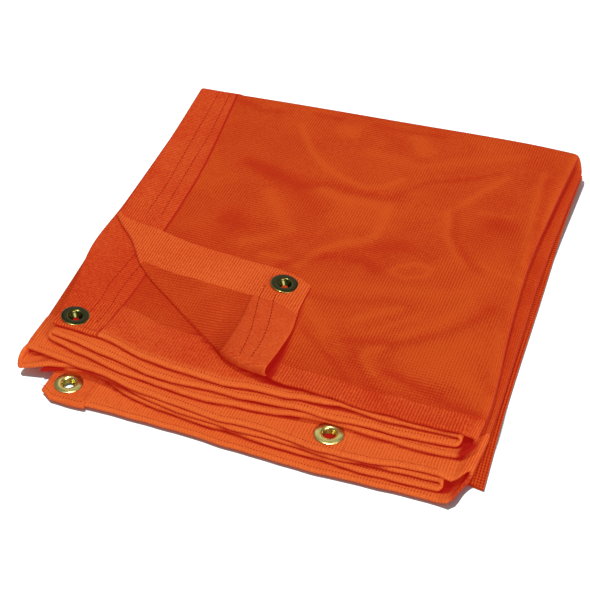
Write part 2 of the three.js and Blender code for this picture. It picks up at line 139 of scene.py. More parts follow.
# Broad swells of the whole stack, full height at the top ply: X, Y, their spreads and rise
SWELLS = [
    (90, 320, 60, 70, 1.2), (215, 250, 60, 55, -1.6), (265, 350, 50, 40, 1.0),
    (285, 120, 55, 45, 1.1), (110, 210, 50, 35, -1.2), (60, 100, 40, 30, -1.0),
]
# The top ply is pressed onto the one below along the crease
PRESS = {"gap": 1.15, "over": 44, "until": 132, "fade": 30}
# A fold's lower layer hangs down at the left front
SAG = {"ply": 2, "place": (2, 28, 13, 18), "drop": 4.0}
# The wraps close to a point at the right front
TIPS = [
    {"from": 4, "to": 7, "towards": 5.2, "x": 325, "over": 8, "front": 42, "depth": 26, "share": 0.64},
    {"from": 0, "to": 3, "towards": 1.2, "x": 322, "over": 10, "front": 12, "depth": 24, "share": 0.6},
]
# The plies droop towards the front: Y where a droop starts, its run and its drop
FRONT_DROOPS = [(51, 8, 0.8), (13, 9, 0.3)]

# Soft ridges and troughs of the top sheet: width, strength and path; light ridges are positive. Their tone
# paints light on the ridges and shade in the troughs, together with the watering of the plies
STREAK_RELIEF = 0.8
STREAK_TONE = 1.7
STREAKS = [
    (3.0, 0.6, [(98, 363), (120, 329), (139, 311), (159, 301), (177, 296), (193, 303), (204, 317)]),
    (8.7, 0.5, [(134, 371), (141, 370)]),
    (7.8, 0.3, [(170, 363), (175, 362)]),
    (8.7, 0.6, [(201, 377), (210, 362)]),
    (4.8, 0.7, [(160, 182), (171, 206), (185, 221), (203, 231), (205, 253), (202, 276)]),
    (5.7, 0.6, [(147, 281), (163, 276), (178, 277), (200, 278)]),
    (15.7, 0.25, [(176, 252), (190, 253)]),
    (6.5, 0.5, [(106, 263), (126, 238), (140, 223), (128, 208), (110, 196)]),
    (3.5, 0.5, [(285, 347), (269, 319), (251, 286), (259, 255), (271, 236), (280, 226)]),
    (3.9, 0.45, [(312, 363), (315, 324), (318, 290), (322, 257), (323, 242)]),
    (6.5, 0.35, [(167, 346), (213, 339), (250, 360), (288, 379)]),
    (4.3, 0.35, [(276, 295), (300, 297)]),
    (3.5, 0.6, [(130, 186), (151, 187)]),
    (2.4, 0.5, [(230, 200), (235, 208), (245, 215), (258, 213), (257, 202), (243, 195), (231, 198)]),
    (5.2, 0.25, [(192, 167), (229, 176), (266, 185), (294, 195)]),
    (4.3, 0.6, [(221, 134), (237, 150), (250, 158)]),
    (2.6, 0.35, [(237, 126), (252, 141), (266, 157)]),
    (5.2, 0.5, [(179, 145), (191, 131), (205, 115)]),
    (4.3, 0.3, [(258, 128), (282, 154), (297, 184)]),
    (3.5, 0.5, [(252, 84), (241, 96), (241, 105), (251, 113)]),
    (16.5, 0.4, [(295, 107), (310, 135)]),
    (7.0, 0.45, [(316, 99), (336, 79)]),
    (3.5, 0.4, [(325, 158), (329, 137), (334, 105)]),
    (2.6, 0.4, [(292, 231), (310, 223), (326, 223)]),
    (7.0, -0.5, [(77, 297), (103, 288), (127, 282), (150, 289), (173, 287), (198, 289), (208, 295)]),
    (11.3, -0.3, [(98, 290), (133, 265), (153, 258)]),
    (9.6, -0.6, [(90, 221), (96, 216)]),
    (2.6, -0.4, [(207, 299), (226, 321), (257, 335), (278, 352)]),
    (5.7, -0.45, [(148, 178), (167, 194), (184, 204), (208, 205), (219, 196)]),
    (7.0, -0.3, [(210, 223), (228, 232), (254, 226)]),
    (4.3, -0.4, [(255, 295), (265, 257), (281, 232), (294, 223)]),
    (9.6, -0.5, [(294, 285), (303, 282)]),
    (5.2, -0.5, [(313, 181), (303, 160), (292, 146), (277, 133), (264, 122), (241, 116), (223, 112)]),
    (2.6, -0.45, [(190, 113), (207, 98), (224, 85), (238, 70)]),
    (3.5, -0.5, [(260, 89), (279, 84), (304, 75), (321, 71), (335, 68)]),
    (4.3, -0.4, [(34, 384), (58, 375), (74, 377)]),
    (3.5, -0.5, [(104, 385), (127, 385)]),
    (2.6, -0.4, [(158, 386), (190, 386), (220, 389)]),
    (4.3, -0.3, [(182, 151), (209, 152), (237, 165), (256, 163)]),
    (5.2, -0.3, [(229, 106), (247, 79), (261, 63)]),
    (5.2, -0.35, [(257, 116), (256, 101), (272, 88), (303, 81)]),
    (3.9, -0.35, [(317, 354), (322, 305), (327, 259), (330, 221), (332, 149), (336, 95)]),
]

# Base: a flat fold of plain mesh under the stack
BASE = {"thickness": 0.5, "low": 0.4, "high": 2.0, "left": 34, "right": 348, "back_out": 9}
BASE_FRONT = ([34, 305, 335, 350], [54, 54, 32, 28])

# Turned-back corner: its top edge is Y along X, its right edge and its lift go along Y
FLAP_TOP = ([4, 10, 47, 73, 100, 147, 168, 180], [198, 193, 184, 178, 175, 170.5, 166, 159])
FLAP_RIGHT = ([58, 81, 104, 132, 159], [184, 185, 185, 181, 180])
FLAP_LIFT = ([55, 80, 104, 130, 159], [7.4, 5.6, 3.6, 1.7, 0.6])
FLAP = {"left": 4, "right": 180, "clear": 1.4, "left_clear": 1.9, "edge_clear": 0.62, "roundover": 9,
        "band_share": 0.785, "hem_columns": 18, "hem_share": 0.97, "short_side": 3}
FLAP_RAMPS = {"clear": (36, 16), "left_hem": (48, 10), "right_hem": (138, 14), "lift": (128, 26)}
FLAP_HOLES = {"least": 0.25, "more": 0.4, "down": (38, 14), "across": (112, 26), "hem": 0.15}
LIP = {"hem_x": (50, 6), "hem_y": (96, 6), "on_top": (125, 30), "gap": 0.2, "out": 0.8}

# Eyelets
EYELET = {"hole": 4.75, "throat": 3.6, "barrel": 5.3, "flange": 10.7, "seat": 1.3, "foot": -1.9, "tilt": 0}
# Two eyelets lean and have a narrower throat; their brass is painted dark where it shows a dark reflection
DARKENED_EYELETS = {"names": ("left", "flap"), "throat": 2.2, "tilt": 7}
# Share of X and of Y in the direction in which the darkened ones lean down
TILT_DOWN = (0.94, 0.34)
# Radii in metres over which the dark ring starts and ends
BRASS_RING = {"inner": (0.006, 0.007), "outer": (0.0096, 0.0102)}
# Painted dark reflection on the brass: how dark the ring on the flange is, and how much darker the whole
# brass is
BRASS_DARKENING = {"darkened": (1.0, 0.8), "bright": (0.1, 0.1)}
PUNCH_RADIUS = 5.6
PUNCH_DEPTH = 12
EYELET_PLACES = {
    "bottom": {"x": 42, "y": 24, "ply": 0},
    "middle": {"x": 239, "y": 30.5, "ply": 3},
    "left": {"x": 26.5, "y": 71, "ply": 6},
    "flap": {"x": 161, "y": 153},
}
# The patch round the bottom eyelet stands out in front of the hem, and is thicker
PATCH = {"out": 2.2, "over": 9.0, "thicker": 0.5}

# Painted light and shade on the hems and the wraps: how light they are, from -1 to 1
HEM_TONES = {"edge": 0.95, "front": 0.6, "top_front": -0.4, "second_front": -0.2, "top_side": -0.35,
             "flap_top": 0.1, "flap_side": 0.1, "second_mesh": -0.35}
WRAP_TONE = {"top": 0.35, "low": -0.5}
TONE_RAMPS = {"front": (4, 5), "top_front": (19, 12), "second_front": (2, 8), "wrap": (0, 0.2),
              "wrap_end": (0.75, 0.2)}
# Strength of the painted shade line along a side hem's inner edge, by run
HEM_LINES = {0: 0.9, 3: 0.7}
# Painted deep shade: the top ply beside the turned corner, and the second ply under the top ply's edge
CORNER_SHADE = ([60, 78, 96, 123, 147, 158], [189.2, 187.8, 186, 182.8, 180.6, 180])
CORNER_SHADE_ENDS = {"from_x": 172, "until_y": 161, "fade": 4, "soft": 2.4}
EDGE_SHADE = ([160, 166, 181, 190, 199, 213, 222], [62, 57.7, 52.5, 50.2, 51.8, 52.9, 58])
EDGE_SHADE_ENDS = {"from_x": 158, "until_x": 224, "soft": 1.6}
END_SHADE = (33, 3)
# Painted shade: a ply's front is dark where the ply above covers it, but for the open end of one ply
COVERED = {"soft": 1.5, "share": 0.3, "open_ply": 3, "open_end": (13, 3)}
# Painted shade on the wraps, by how far round they turn, and beside the wrap that lies above
WRAP_LINE = {"top": 0.34, "low": 0.42, "over": 0.15, "low_strength": 0.7}
WRAP_SHADE = {"top": 1.0, "low": 2.5, "soft": 1.5, "from_x": 300, "from_y": 56}
# How open the holes show, at places with X, Y and their spreads, and elsewhere by part
OPEN_PLACES = [(62, 186, 22, 10, 0.7), (80, 96, 22, 22, 0.5), (290, 120, 40, 40, 0.15)]
HOLES = {"top": 0.24, "base": 1.0, "patch": 0.85, "upper_hem": 0.5}

# Runs of each arm of the cloth, by ply: the low arm's first ply lies at the bottom
PLIES = {"low": (0, 3, 2, 1), "top": (7, 4, 5, 6)}
# Arm and run of each hem strip that holds an eyelet, and where the middle one lies along its run
STRIPS = {"bottom": ("low", 0), "middle": ("low", 1), "left": ("top", 3)}
MIDDLE_STRIP = (78 / 336, 118 / 336)
STRIP_GAP = 0.0003

# Stitches: pitch, length and width
LONG_STITCH = (3.6, 3.1, 0.75)
CORNER_STITCH = (3.6, 3.4, 0.75)
GLINT = (4.4, 2.2, 0.5)
NEEDLE_HOLE = (2.2, 1.0, 0.7)
THREAD_RISE = HEM_THICKNESS / 2 - 0.05
HOLE_RISE = 0.02
# Rows along the side hems and down the turned corner: X along Y
SIDE_ROWS = [
    (7, ([205, 249, 282, 340, 388], [25, 24, 21, 16, 12])),
    (7, ([205, 280, 317, 388], [37, 32, 30, 22])),
    (6, ([76, 94, 115, 153], [33.5, 35, 33.5, 36.5])),
    (6, ([72, 90, 110, 148], [44, 45.5, 44, 46])),
]
CORNER_ROWS = [
    (64, 146, 60, ([59, 86, 110, 131, 150], [161, 158.6, 153.8, 149, 147.5])),
    (63, 138, 50, ([56, 75, 89, 111, 129, 139], [169.5, 169.9, 169, 165.3, 160.8, 159])),
]
# Needle holes along the front of each ply: where the row starts, and its inset
FRONT_ROWS = {0: (66, 3), 1: (60, 4), 2: (10, 4), 3: (10, 4), 4: (24, 4), 5: (24, 4), 6: (24, 4)}
FRONT_ROWS_END = 318
# Rows along the front and the right of the patch, and of glints below the corner's top edge
PATCH_ROWS = {"x_ends": (24, 59), "inset": 1.6, "right": 60.0, "y_ends": (12, 40)}
GLINT_ROWS = {"ends": (34, 146), "rows": [(0, 27), (12, 34)]}
# Cloth coordinates of the runs and of the arms are this far apart
CLOTH_STEP = 1000

# Direction and angle of each sun, and the large soft light behind
SUNS = {"key": ((0.06, -0.06, -0.99), 3), "floor_key": ((0.32, -0.14, -0.94), 3),
        "front": ((-0.7, 0.5, -0.51), 40)}
SOFTBOX = {"away": (-0.26, 0.72, 0.64), "distance": 1.3, "size": 0.9}
FLOOR = {"size": 40, "drop": 0.0004}
# Camera: degrees, metres and millimetres; its focal length was fitted in pixels of the photograph
CAMERA = {"azimuth": 20, "elevation": 40, "distance": 1.15, "aim": (165, 165, 12), "sensor": 36,
          "focal_pixels": 1500, "photo_pixels": 590}


def mix(a, b, t):
    return a + (b - a) * t


def smooth(t):
    c = np.clip(t, 0, 1)
    return c * c * (3 - 2 * c)


def rise(at, start, over):
    """A ramp: 0 up to its start, then smoothly up to 1."""
    return smooth((at - start) / over)


def hump(x, y, centre_x, centre_y, spread_x, spread_y):
    """A smooth hill, 1 high at its centre."""
    return np.exp(-(((x - centre_x) / spread_x) ** 2) - ((y - centre_y) / spread_y) ** 2)


def follow(curve, at):
    """Smooth line through a curve's points, flat beyond its ends."""
    keys, values = (np.asarray(part, float) for part in curve)
    at = np.clip(np.asarray(at, float), keys[0], keys[-1])
    last = len(keys) - 1
    i = np.clip(np.searchsorted(keys, at, side="right") - 1, 0, last - 1)
    before = np.maximum(np.arange(last + 1) - 1, 0)
    after = np.minimum(np.arange(last + 1) + 1, last)
    slopes = (values[after] - values[before]) / (keys[after] - keys[before])
    span = keys[i + 1] - keys[i]
    t = (at - keys[i]) / span
    start = (1 + 2 * t) * (1 - t) ** 2 * values[i]
    end = t * t * (3 - 2 * t) * values[i + 1]
    bend = t * (1 - t) ** 2 * slopes[i] - t * t * (1 - t) * slopes[i + 1]
    return start + end + bend * span


def side_at(name, y):
    return follow(SIDE_EDGES[name], y)


def edge_wave(ply, x):
    """Small waves along a ply's front edge, a different one for each ply."""
    total = 0.0
    for k, length in enumerate(WAVES["lengths"]):
        total = total + np.sin(2 * math.pi * x / length + 2.4 * ply + 1.7 * k) / (k + 1)
    return WAVES["size" if ply else "lowest"] * total


def front_of(ply, x):
    x = np.asarray(x, float)
    edge = follow((STATIONS, FRONT_EDGES[ply]), x) + edge_wave(ply, x)
    if ply == TOP_PLY:
        return np.where(x < CREASE_END, follow(CREASE, x), edge)
    if ply > 0:
        return edge
    return edge + CORNER_CUT["depth"] * np.clip(1 - (x - CORNER_CUT["x"]) / CORNER_CUT["width"], 0, 1)


def streak_tone(x, y):
    """Sum of the soft ridges and troughs at these places."""
    total = np.zeros(np.broadcast(x, y).shape)
    for width, strength, path in STREAKS:
        nearest = np.inf
        for (ax, ay), (bx, by) in zip(path[:-1], path[1:]):
            length = (bx - ax) ** 2 + (by - ay) ** 2
            t = np.clip(((x - ax) * (bx - ax) + (y - ay) * (by - ay)) / length, 0, 1)
            away = (x - ax - t * (bx - ax)) ** 2 + (y - ay - t * (by - ay)) ** 2
            nearest = np.minimum(nearest, away)
        total = total + strength * np.exp(-nearest / width**2)
    return total


def height_of(ply, x, y):
    """Height of the middle of a ply. The ply number may be a fraction inside a bend."""
    x, y = np.asarray(x, float), np.asarray(y, float)
    level = ply + np.zeros(np.broadcast(x, y).shape)
    for tip in TIPS:
        inside = (level >= tip["from"]) & (level <= tip["to"])
        near = rise(x, tip["x"], tip["over"]) * (1 - rise(y, tip["front"], tip["depth"]))
        level = np.where(inside, mix(level, tip["towards"], tip["share"] * near), level)
    z = LOWEST_PLY + level * PLY_PITCH
    for lowest, middle, width, depth, tall in RIPPLES:
        ripple = hump(x, np.maximum(y, WORKING_Y), middle, WORKING_Y, width, depth)
        z = z + np.clip(ply - lowest + 1, 0, 1) * tall * ripple
    for *place, tall in SWELLS:
        z = z + (ply / TOP_PLY) * tall * hump(x, y, *place)
    for start, over, drop in FRONT_DROOPS:
        z = z - drop * smooth((start - y) / over)
    z = z - SAG["drop"] * np.clip(1 - np.abs(ply - SAG["ply"]), 0, 1) * hump(x, y, *SAG["place"])
    if np.max(ply) > TOP_PLY - 1:
        top_share = np.clip(np.asarray(ply) - TOP_PLY + 1, 0, 1)
        z = z + top_share * STREAK_RELIEF * streak_tone(x, y)
        pressed = 1 - rise(y, follow(CREASE, x), PRESS["over"])
        pressed = pressed * (1 - rise(x, PRESS["until"], PRESS["fade"]))
        z = mix(z, height_of(TOP_PLY - 1, x, y) + PRESS["gap"], top_share * pressed)
    return z


def spots_of(*stretches):
    """Spots along the folded path: the run, its part (hem, field or bend) and the share of that part."""
    rows = [(run, part, share) for run, part, shares in stretches for share in shares]
    return np.rec.array(rows, dtype=[("run", int), ("part", "U5"), ("share", float)])


def run_ends(arm, run, y):
    """Left and right end of a run's flat part at some Y, and how far its right bend stands out."""
    wrap = run < 2
    reach = BEND_REACH["wrap" if wrap else "hairpin"]
    inset = 0 if wrap else HAIRPIN_INSET[arm]
    right = side_at(arm + "_right", y) - inset - SOLID_SKIN - reach
    left = side_at(arm + "_left_fold", y) + SOLID_SKIN + BEND_REACH["hairpin"]
    if run in LOW_FREE_ENDS:
        left = LOW_FREE_ENDS[run] if arm == "low" else side_at(TOP_FREE_ENDS[run], y)
    return left, right, reach


def place_on(arm, spot, y):
    """Where a spot lies at some Y: its X, and its ply."""
    run, share = spot.run, spot.share
    plies = PLIES[arm]
    left, right, reach = run_ends(arm, run, y)
    if spot.part == "bend":
        angle = share * math.pi
        square = WRAP_SQUARENESS if run == 0 else 1.0
        out = math.sin(angle) ** square
        turn = (1 - math.copysign(abs(math.cos(angle)) ** square, math.cos(angle))) / 2
        ply = mix(plies[run], plies[run + 1], turn)
        next_left, next_right, _ = run_ends(arm, run + 1, y)
        if run % 2 == 0:
            return mix(right, next_right, share) + reach * out, ply
        return mix(left, next_left, share) - BEND_REACH["hairpin"] * out, ply
    if (arm, run) not in SIDE_HEMS:
        return mix(left, right, share), plies[run]
    inner = follow(SIDE_HEMS[arm, run], y)
    if spot.part == "hem":
        return mix(left, inner, share), plies[run]
    return mix(inner + HEM_STEP, right, share), plies[run]


def arm_line(arm, spot, from_front, shares):
    """Points of one arm at a spot, from its front edge to the back fold."""
    plies = PLIES[arm]
    x = place_on(arm, spot, WORKING_Y)[0]
    front = front_of(plies[spot.run], x)
    if spot.part == "bend":
        setback = WRAP_SETBACK[arm] * math.sin(spot.share * math.pi) if spot.run == 0 else 0
        front = mix(front, front_of(plies[spot.run + 1], x), smooth(spot.share)) + setback
    y = mix(front + from_front, follow(BACK_FOLD, x), shares)
    x, ply = place_on(arm, spot, y)
    return np.stack([x, y, height_of(ply, x, y)], axis=1)


# Rows of points from the front edge to the back fold: millimetres from the edge, then shares
HEM_ROWS = [0, 0.2, 0.5, 1.0, 1.7, 3, 4.6, 6.2, 8, 10, 12, 14, 16, 18.5, 22, 26, 31, 34.5, HEM_WIDTH - 0.1,
            HEM_WIDTH + HEM_STEP, 41]
LOW_SHARES = np.linspace(0, 1, 9)[1:]
TOP_SHARES = np.linspace(0, 1, 102)[1:]
FOLD_ANGLES = np.linspace(0, math.pi, 15)[1:-1]
# Columns of the cloth: the hems at both fronts, and each arm
FRONT_COUNT = len(HEM_ROWS)
LOW_COUNT = FRONT_COUNT + len(LOW_SHARES)
TOP_COUNT = FRONT_COUNT + len(TOP_SHARES)
LOW_FRONT, TOP_FRONT = slice(0, FRONT_COUNT), slice(-FRONT_COUNT, None)
LOW_ARM, TOP_ARM = slice(0, LOW_COUNT), slice(-TOP_COUNT, None)
TOP_FIELD, PAST_FOLD = slice(-TOP_COUNT, -FRONT_COUNT), slice(1 - TOP_COUNT, None)


def crossing(spot):
    """One crossing of the cloth: low arm, back fold, top arm."""
    arms = []
    for arm, shares in (("low", LOW_SHARES), ("top", TOP_SHARES)):
        from_front = np.array(HEM_ROWS + [HEM_ROWS[-1]] * len(shares), float)
        arms.append(arm_line(arm, spot, from_front, np.array([0.0] * FRONT_COUNT + list(shares))))
    low, top = arms
    tall = top[-1, 2] - low[-1, 2]
    if spot.run == 0 and spot.part == "bend":
        filled = rise(spot.share, BACK_BULGE["full_until"], BACK_BULGE["over"])
        tall = mix(PLY_PITCH * TOP_PLY, tall, filled)
    fold = mix(low[-1], top[-1], (1 - np.cos(FOLD_ANGLES))[:, None] / 2)
    fold[:, 1] += (BACK_BULGE["least"] + BACK_BULGE["per_height"] * tall / 2) * np.sin(FOLD_ANGLES)
    return np.concatenate([low, fold, top[::-1]])


def path_spots():
    """Spots along the path, close together on the first run, which is the top sheet."""
    bend = np.linspace(0, 1, 12)[1:-1]
    hem = [0, 0.006, 0.016, 0.03, 0.1, 0.2, 0.3, 0.4, 0.5, 0.6, 0.7, 0.8, 0.9, 0.95, 0.978, 1.0]
    start, end = MIDDLE_STRIP
    under_wrap = [0.97, 0.977, 0.983, 0.988, 0.992, 0.996, 1]
    shares = [*np.linspace(0, start, 9), (start + end) / 2, *np.linspace(end, 0.96, 20), *under_wrap]
    return spots_of(
        (0, "hem", hem),
        (0, "field", [0, 0.0035, *np.linspace(0.008, 1, 120)]),
        (0, "bend", np.linspace(0, 1, 16)[1:-1]),
        (1, "field", 1 - np.array(shares)),
        (1, "bend", bend),
        (2, "field", np.linspace(0, 1, 31)),
        (2, "bend", bend),
        (3, "field", [*np.linspace(1, 0.01, 30), 0.0035, 0]),
        (3, "hem", hem[::-1]),
    )


def edge_profile(distance):
    """Share of the full thickness near a rounded edge."""
    inner = np.clip(1 - distance / EDGE_ROUND, 0, 1)
    return np.sqrt(1 - EDGE_THINNING * inner**2)


def hem_thickness(from_front):
    """The hem is rolled at the front edge, so it is thicker there."""
    roll = 1 - rise(from_front, ROLLED_EDGE["flat"], ROLLED_EDGE["over"])
    return HEM_THICKNESS + roll * (ROLLED_EDGE["thickness"] - HEM_THICKNESS)


def linked(name, data):
    """The object of a mesh, light or camera, in the scene."""
    obj = bpy.data.objects.new(name, data)
    bpy.context.scene.collection.objects.link(obj)
    return obj


def finished_shell(name, mesh, sharp_angle):
    """Object of a closed mesh: smooth, faces outwards, with sharp edges past an angle."""
    mesh.polygons.foreach_set("use_smooth", np.ones(len(mesh.polygons), bool))
    bm = bmesh.new()
    bm.from_mesh(mesh)
    if bm.calc_volume(signed=True) < 0:
        bmesh.ops.reverse_faces(bm, faces=bm.faces)
    bm.to_mesh(mesh)
    bm.free()
    mesh.set_sharp_from_angle(angle=math.radians(sharp_angle))
    return linked(name, mesh)


def sheet_object(name, grid, thickness, uv, materials, kinds=None, keep=None, tone=0.0, line=0.0, holes=0.5):
    """Closed thin sheet from a grid of middle points, its thickness and a material per cell."""
    rows, columns = grid.shape[:2]
    normal = np.cross(np.gradient(grid, axis=0), np.gradient(grid, axis=1))
    normal /= np.maximum(np.linalg.norm(normal, axis=2, keepdims=True), 1e-9)
    half = normal * np.broadcast_to(thickness, (rows, columns))[..., None] / 2
    points = np.concatenate([(grid + half).reshape(-1, 3), (grid - half).reshape(-1, 3)])
    cells = (rows - 1, columns - 1)
    kinds = np.zeros(cells, int) if kinds is None else kinds.astype(int)
    kept = np.pad(np.ones(cells, bool) if keep is None else keep, 1)
    below = rows * columns
    number = np.arange(below).reshape(rows, columns)
    faces = []
    face_kinds = []
    for i, j in zip(*np.nonzero(kept[1:-1, 1:-1])):
        a, b, c, d = number[i, j], number[i + 1, j], number[i + 1, j + 1], number[i, j + 1]
        cell = [(a, b, c, d), (d + below, c + below, b + below, a + below)]
        around = ((a, b, kept[i + 1, j]), (b, c, kept[i + 2, j + 1]),
                  (c, d, kept[i + 1, j + 2]), (d, a, kept[i, j + 1]))
        cell += [(p + below, q + below, q, p) for p, q, joined in around if not joined]
        faces += cell
        face_kinds += [kinds[i, j]] * len(cell)
    faces = np.array(faces)
    face_kinds = np.array(face_kinds, np.int32)
    used, packed = np.unique(faces, return_inverse=True)
    mesh = bpy.data.meshes.new(name)
    mesh.from_pydata(((points[used] - STACK_CENTRE) * MM).tolist(), [], packed.reshape(faces.shape).tolist())
    for material in materials:
        mesh.materials.append(MATERIALS[material])
    mesh.polygons.foreach_set("material_index", face_kinds)
    flat = uv.reshape(len(materials), below, 2)
    coordinates = flat[face_kinds[:, None], faces % below] * MM
    mesh.uv_layers.new(name="cloth").data.foreach_set("uv", coordinates.reshape(-1).astype(np.float32))
    for label, share in (("tone", tone), ("line", line), ("holes", holes)):
        values = np.tile((np.zeros((rows, columns)) + share).reshape(-1), 2)[used]
        stored = mesh.attributes.new(label, "FLOAT", "POINT")
        stored.data.foreach_set("value", values.astype(np.float32))
    return finished_shell(name, mesh, SHARP["cloth"])


def plain_mesh(obj):
    """Turns the result of an object's modifiers into its own mesh, and takes them off."""
    result = bpy.data.meshes.new_from_object(obj.evaluated_get(bpy.context.evaluated_depsgraph_get()))
    obj.modifiers.clear()
    obj.data = result
    return obj


def dress(obj, slot, *nodes):
    """Every piece rides on the one body, and the parts of the imported model that it stands for are hidden.
    """
    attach(obj, "root")
    if nodes:
        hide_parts(*nodes)
    return obj


class Tree:
    """A node tree under construction."""

    def __init__(self, tree):
        self.tree = tree

    def add(self, kind, settings, inputs):
        """One node: its settings first, then the values or links of its sockets."""
        node = self.tree.nodes.new(kind)
        for key, value in settings.items():
            setattr(node, key, value)
        for key, value in inputs.items():
            socket = node.inputs[key]
            if isinstance(value, Value):
                value = value.socket
            if isinstance(value, bpy.types.NodeSocket):
                self.tree.links.new(value, socket)
            elif socket.type == "RGBA":
                socket.default_value = (*value, 1)
            else:
                socket.default_value = value
        return node


class Value:
    """A number in a shader. An expression on it adds Math nodes."""

    def __init__(self, shader, socket):
        self.shader = shader
        self.socket = socket

    def maths(self, operation, *others):
        values = dict(enumerate((self, *others)))
        return self.shader.value("ShaderNodeMath", 0, {"operation": operation}, values)

    def __add__(self, other):
        return self.maths("ADD", other)

    def __sub__(self, other):
        return self.maths("SUBTRACT", other)

    def __rsub__(self, other):
        return (self * -1).maths("ADD", other)

    def __mul__(self, other):
        return self.maths("MULTIPLY", other)

    __radd__ = __add__
    __rmul__ = __mul__

    def cosine(self):
        return self.maths("COSINE")

    def between(self, low, high):
        """0 below low, 1 above high, smooth in between."""
        return self.shader.value("ShaderNodeMapRange", 0, {"interpolation_type": "SMOOTHSTEP"},
                                 {"Value": self, "From Min": low, "From Max": high})


class Shader(Tree):
    """A material under construction."""

    def __init__(self, name):
        self.material = bpy.data.materials.new(name)
        self.material.use_nodes = True
        super().__init__(self.material.node_tree)
        self.tree.nodes.clear()

    def value(self, kind, output, settings, inputs):
        return Value(self, self.add(kind, settings, inputs).outputs[output])

    def place(self):
        return self.add("ShaderNodeTexCoord", {}, {}).outputs["Object"]

    def vector(self, operation, first, second):
        return self.add("ShaderNodeVectorMath", {"operation": operation}, {0: first, 1: second}).outputs[0]

    def cloth_place(self):
        uv = self.add("ShaderNodeUVMap", {"uv_map": "cloth"}, {})
        parts = self.add("ShaderNodeSeparateXYZ", {}, {0: uv.outputs[0]})
        return Value(self, parts.outputs[0]), Value(self, parts.outputs[1])

    def share(self, name):
        """A number that is stored at the points of the cloth."""
        return self.value("ShaderNodeAttribute", "Fac", {"attribute_name": name}, {})

    def noise(self, scale, detail, roughness=0.5, offset=None):
        place = self.vector("ADD", self.place(), offset) if offset else self.place()
        return self.value("ShaderNodeTexNoise", "Fac", {}, {
            "Vector": place, "Scale": scale, "Detail": detail, "Roughness": roughness})

    def blend(self, factor, first, second):
        node = self.add("ShaderNodeMix", {"data_type": "RGBA"}, {0: factor, 6: first, 7: second})
        return node.outputs[2]

    def bump(self, height, distance, strength):
        node = self.add("ShaderNodeBump", {}, {"Height": height, "Distance": distance, "Strength": strength})
        return node.outputs[0]

    def finish(self, inputs):
        surface = self.add("ShaderNodeBsdfPrincipled", {}, inputs)
        self.add("ShaderNodeOutputMaterial", {}, {0: surface.outputs[0]})
        return self.material


# Cloth and thread scatter light evenly
MATT = {"Roughness": 0.85, "Specular IOR Level": 0.03}
FINE_FLECK = 650.0


def mesh_material(look, name, plies):
    """Knitted mesh: open holes between yarns, watered light and dark where plies cross."""
    s = Shader(name)
    u, v = s.cloth_place()
    turn_u = 2 * math.pi / look.mesh_pitch
    turn_v = turn_u / look.mesh_stretch
    grain = s.noise(16.0, 1.0).between(0.35, 0.65)
    across = (u * turn_u).cosine()
    down = (v * turn_v).cosine()
    open_top = across * (grain * 0.4 + 0.3) + down * (0.7 - grain * 0.4)
    hole = open_top.between(0.1, 0.6) * s.share("holes")
    hatch = across * grain + down * (1 - grain)
    broad = (s.noise(13.0, 2.0) - 0.5) * 1.1 + (s.noise(50.0, 3.0) - 0.5) * 0.35
    fine = (s.noise(FINE_FLECK, 1.0) - 0.5) * 1.2
    # The stored tone paints light and shade onto the yarn; the noises vary it at random and the hatch
    # follows the weave
    lit = s.share("tone") * 0.5 + 0.5 + broad + fine - hatch * 0.32
    yarn = s.blend(lit, look.yarn_shade, look.yarn_light)
    both = 1.0
    if plies > 1:
        drift_u = s.noise(12.0, 1.5) - 0.5
        drift_v = s.noise(9.0, 1.5, offset=(3.1, 1.7, 0.4)) - 0.5
        under_across = ((u + drift_u * look.watering) * turn_u).cosine()
        under_down = ((v + drift_v * look.watering) * turn_v).cosine()
        both = ((under_across + under_down) * 0.5).between(-0.2, 0.6)
    # Painted shade: a hole shows the ply beneath in shade, darker where the holes of both plies line up
    beneath = s.blend(both, look.under, look.gap)
    # The stored line paints shade: dark lines and deep shade under edges, in creases and in the wraps
    line = s.share("line")
    return s.finish({
        "Base Color": s.blend(line, s.blend(hole, yarn, beneath), look.seam),
        "Alpha": 1 - hole * both * look.sheerness,
        # Painted glow: a red emission stands in for light through the cloth and light bounced into its
        # shade, redder in the painted shade
        "Emission Color": s.blend(line, look.through, look.painted_shade_glow),
        "Emission Strength": look.glow,
        "Normal": s.bump(1 - open_top.between(-0.7, 0.6), 0.0002, 0.4),
        **MATT,
    })


def hem_material(look):
    """Hems of doubled mesh: fine light ribs across the edge."""
    s = Shader("ribbed_hem")
    u, v = s.cloth_place()
    rib = (u * (2 * math.pi / look.rib_pitch)).cosine()
    weave = (v * (2 * math.pi / (look.rib_pitch * 0.8))).cosine()
    wear = (s.noise(24.0, 4.0, 0.6) - 0.5) * 0.5
    show = (s.noise(18.0, 1.0).between(0.3, 0.6) * 0.55 + 0.4) * (1 - s.share("holes"))
    fleck = (s.noise(FINE_FLECK, 1.0) - 0.5) * 0.9
    # The stored tone paints light and shade onto the hem; the ribs, flecks and wear are its own pattern
    lit = s.share("tone") * 0.5 + 0.3 + rib.between(0.0, 1.0) * show * (weave * 0.3 + 1.1) + fleck + wear
    # The stored line paints shade: dark lines and deep shade
    line = s.share("line")
    return s.finish({
        "Base Color": s.blend(line, s.blend(lit, look.hem_shade, look.hem_light), look.seam),
        # Painted glow, as on the mesh
        "Emission Color": s.blend(line, look.through, look.painted_shade_glow),
        "Emission Strength": look.glow,
        "Normal": s.bump(rib * (0.8 - s.share("holes") * 0.7) + weave * 0.2, 0.00016, 0.5),
        **MATT,
    })


def thread_material(look, name, light, shade):
    s = Shader(name)
    colour = s.blend(s.noise(900.0, 2.0).between(0.3, 0.7), shade, light)
    # A weaker painted glow, in the colour of the painted shade
    return s.finish({"Base Color": colour, "Emission Color": look.painted_shade_glow,
                     "Emission Strength": look.glow * 0.3, **MATT})


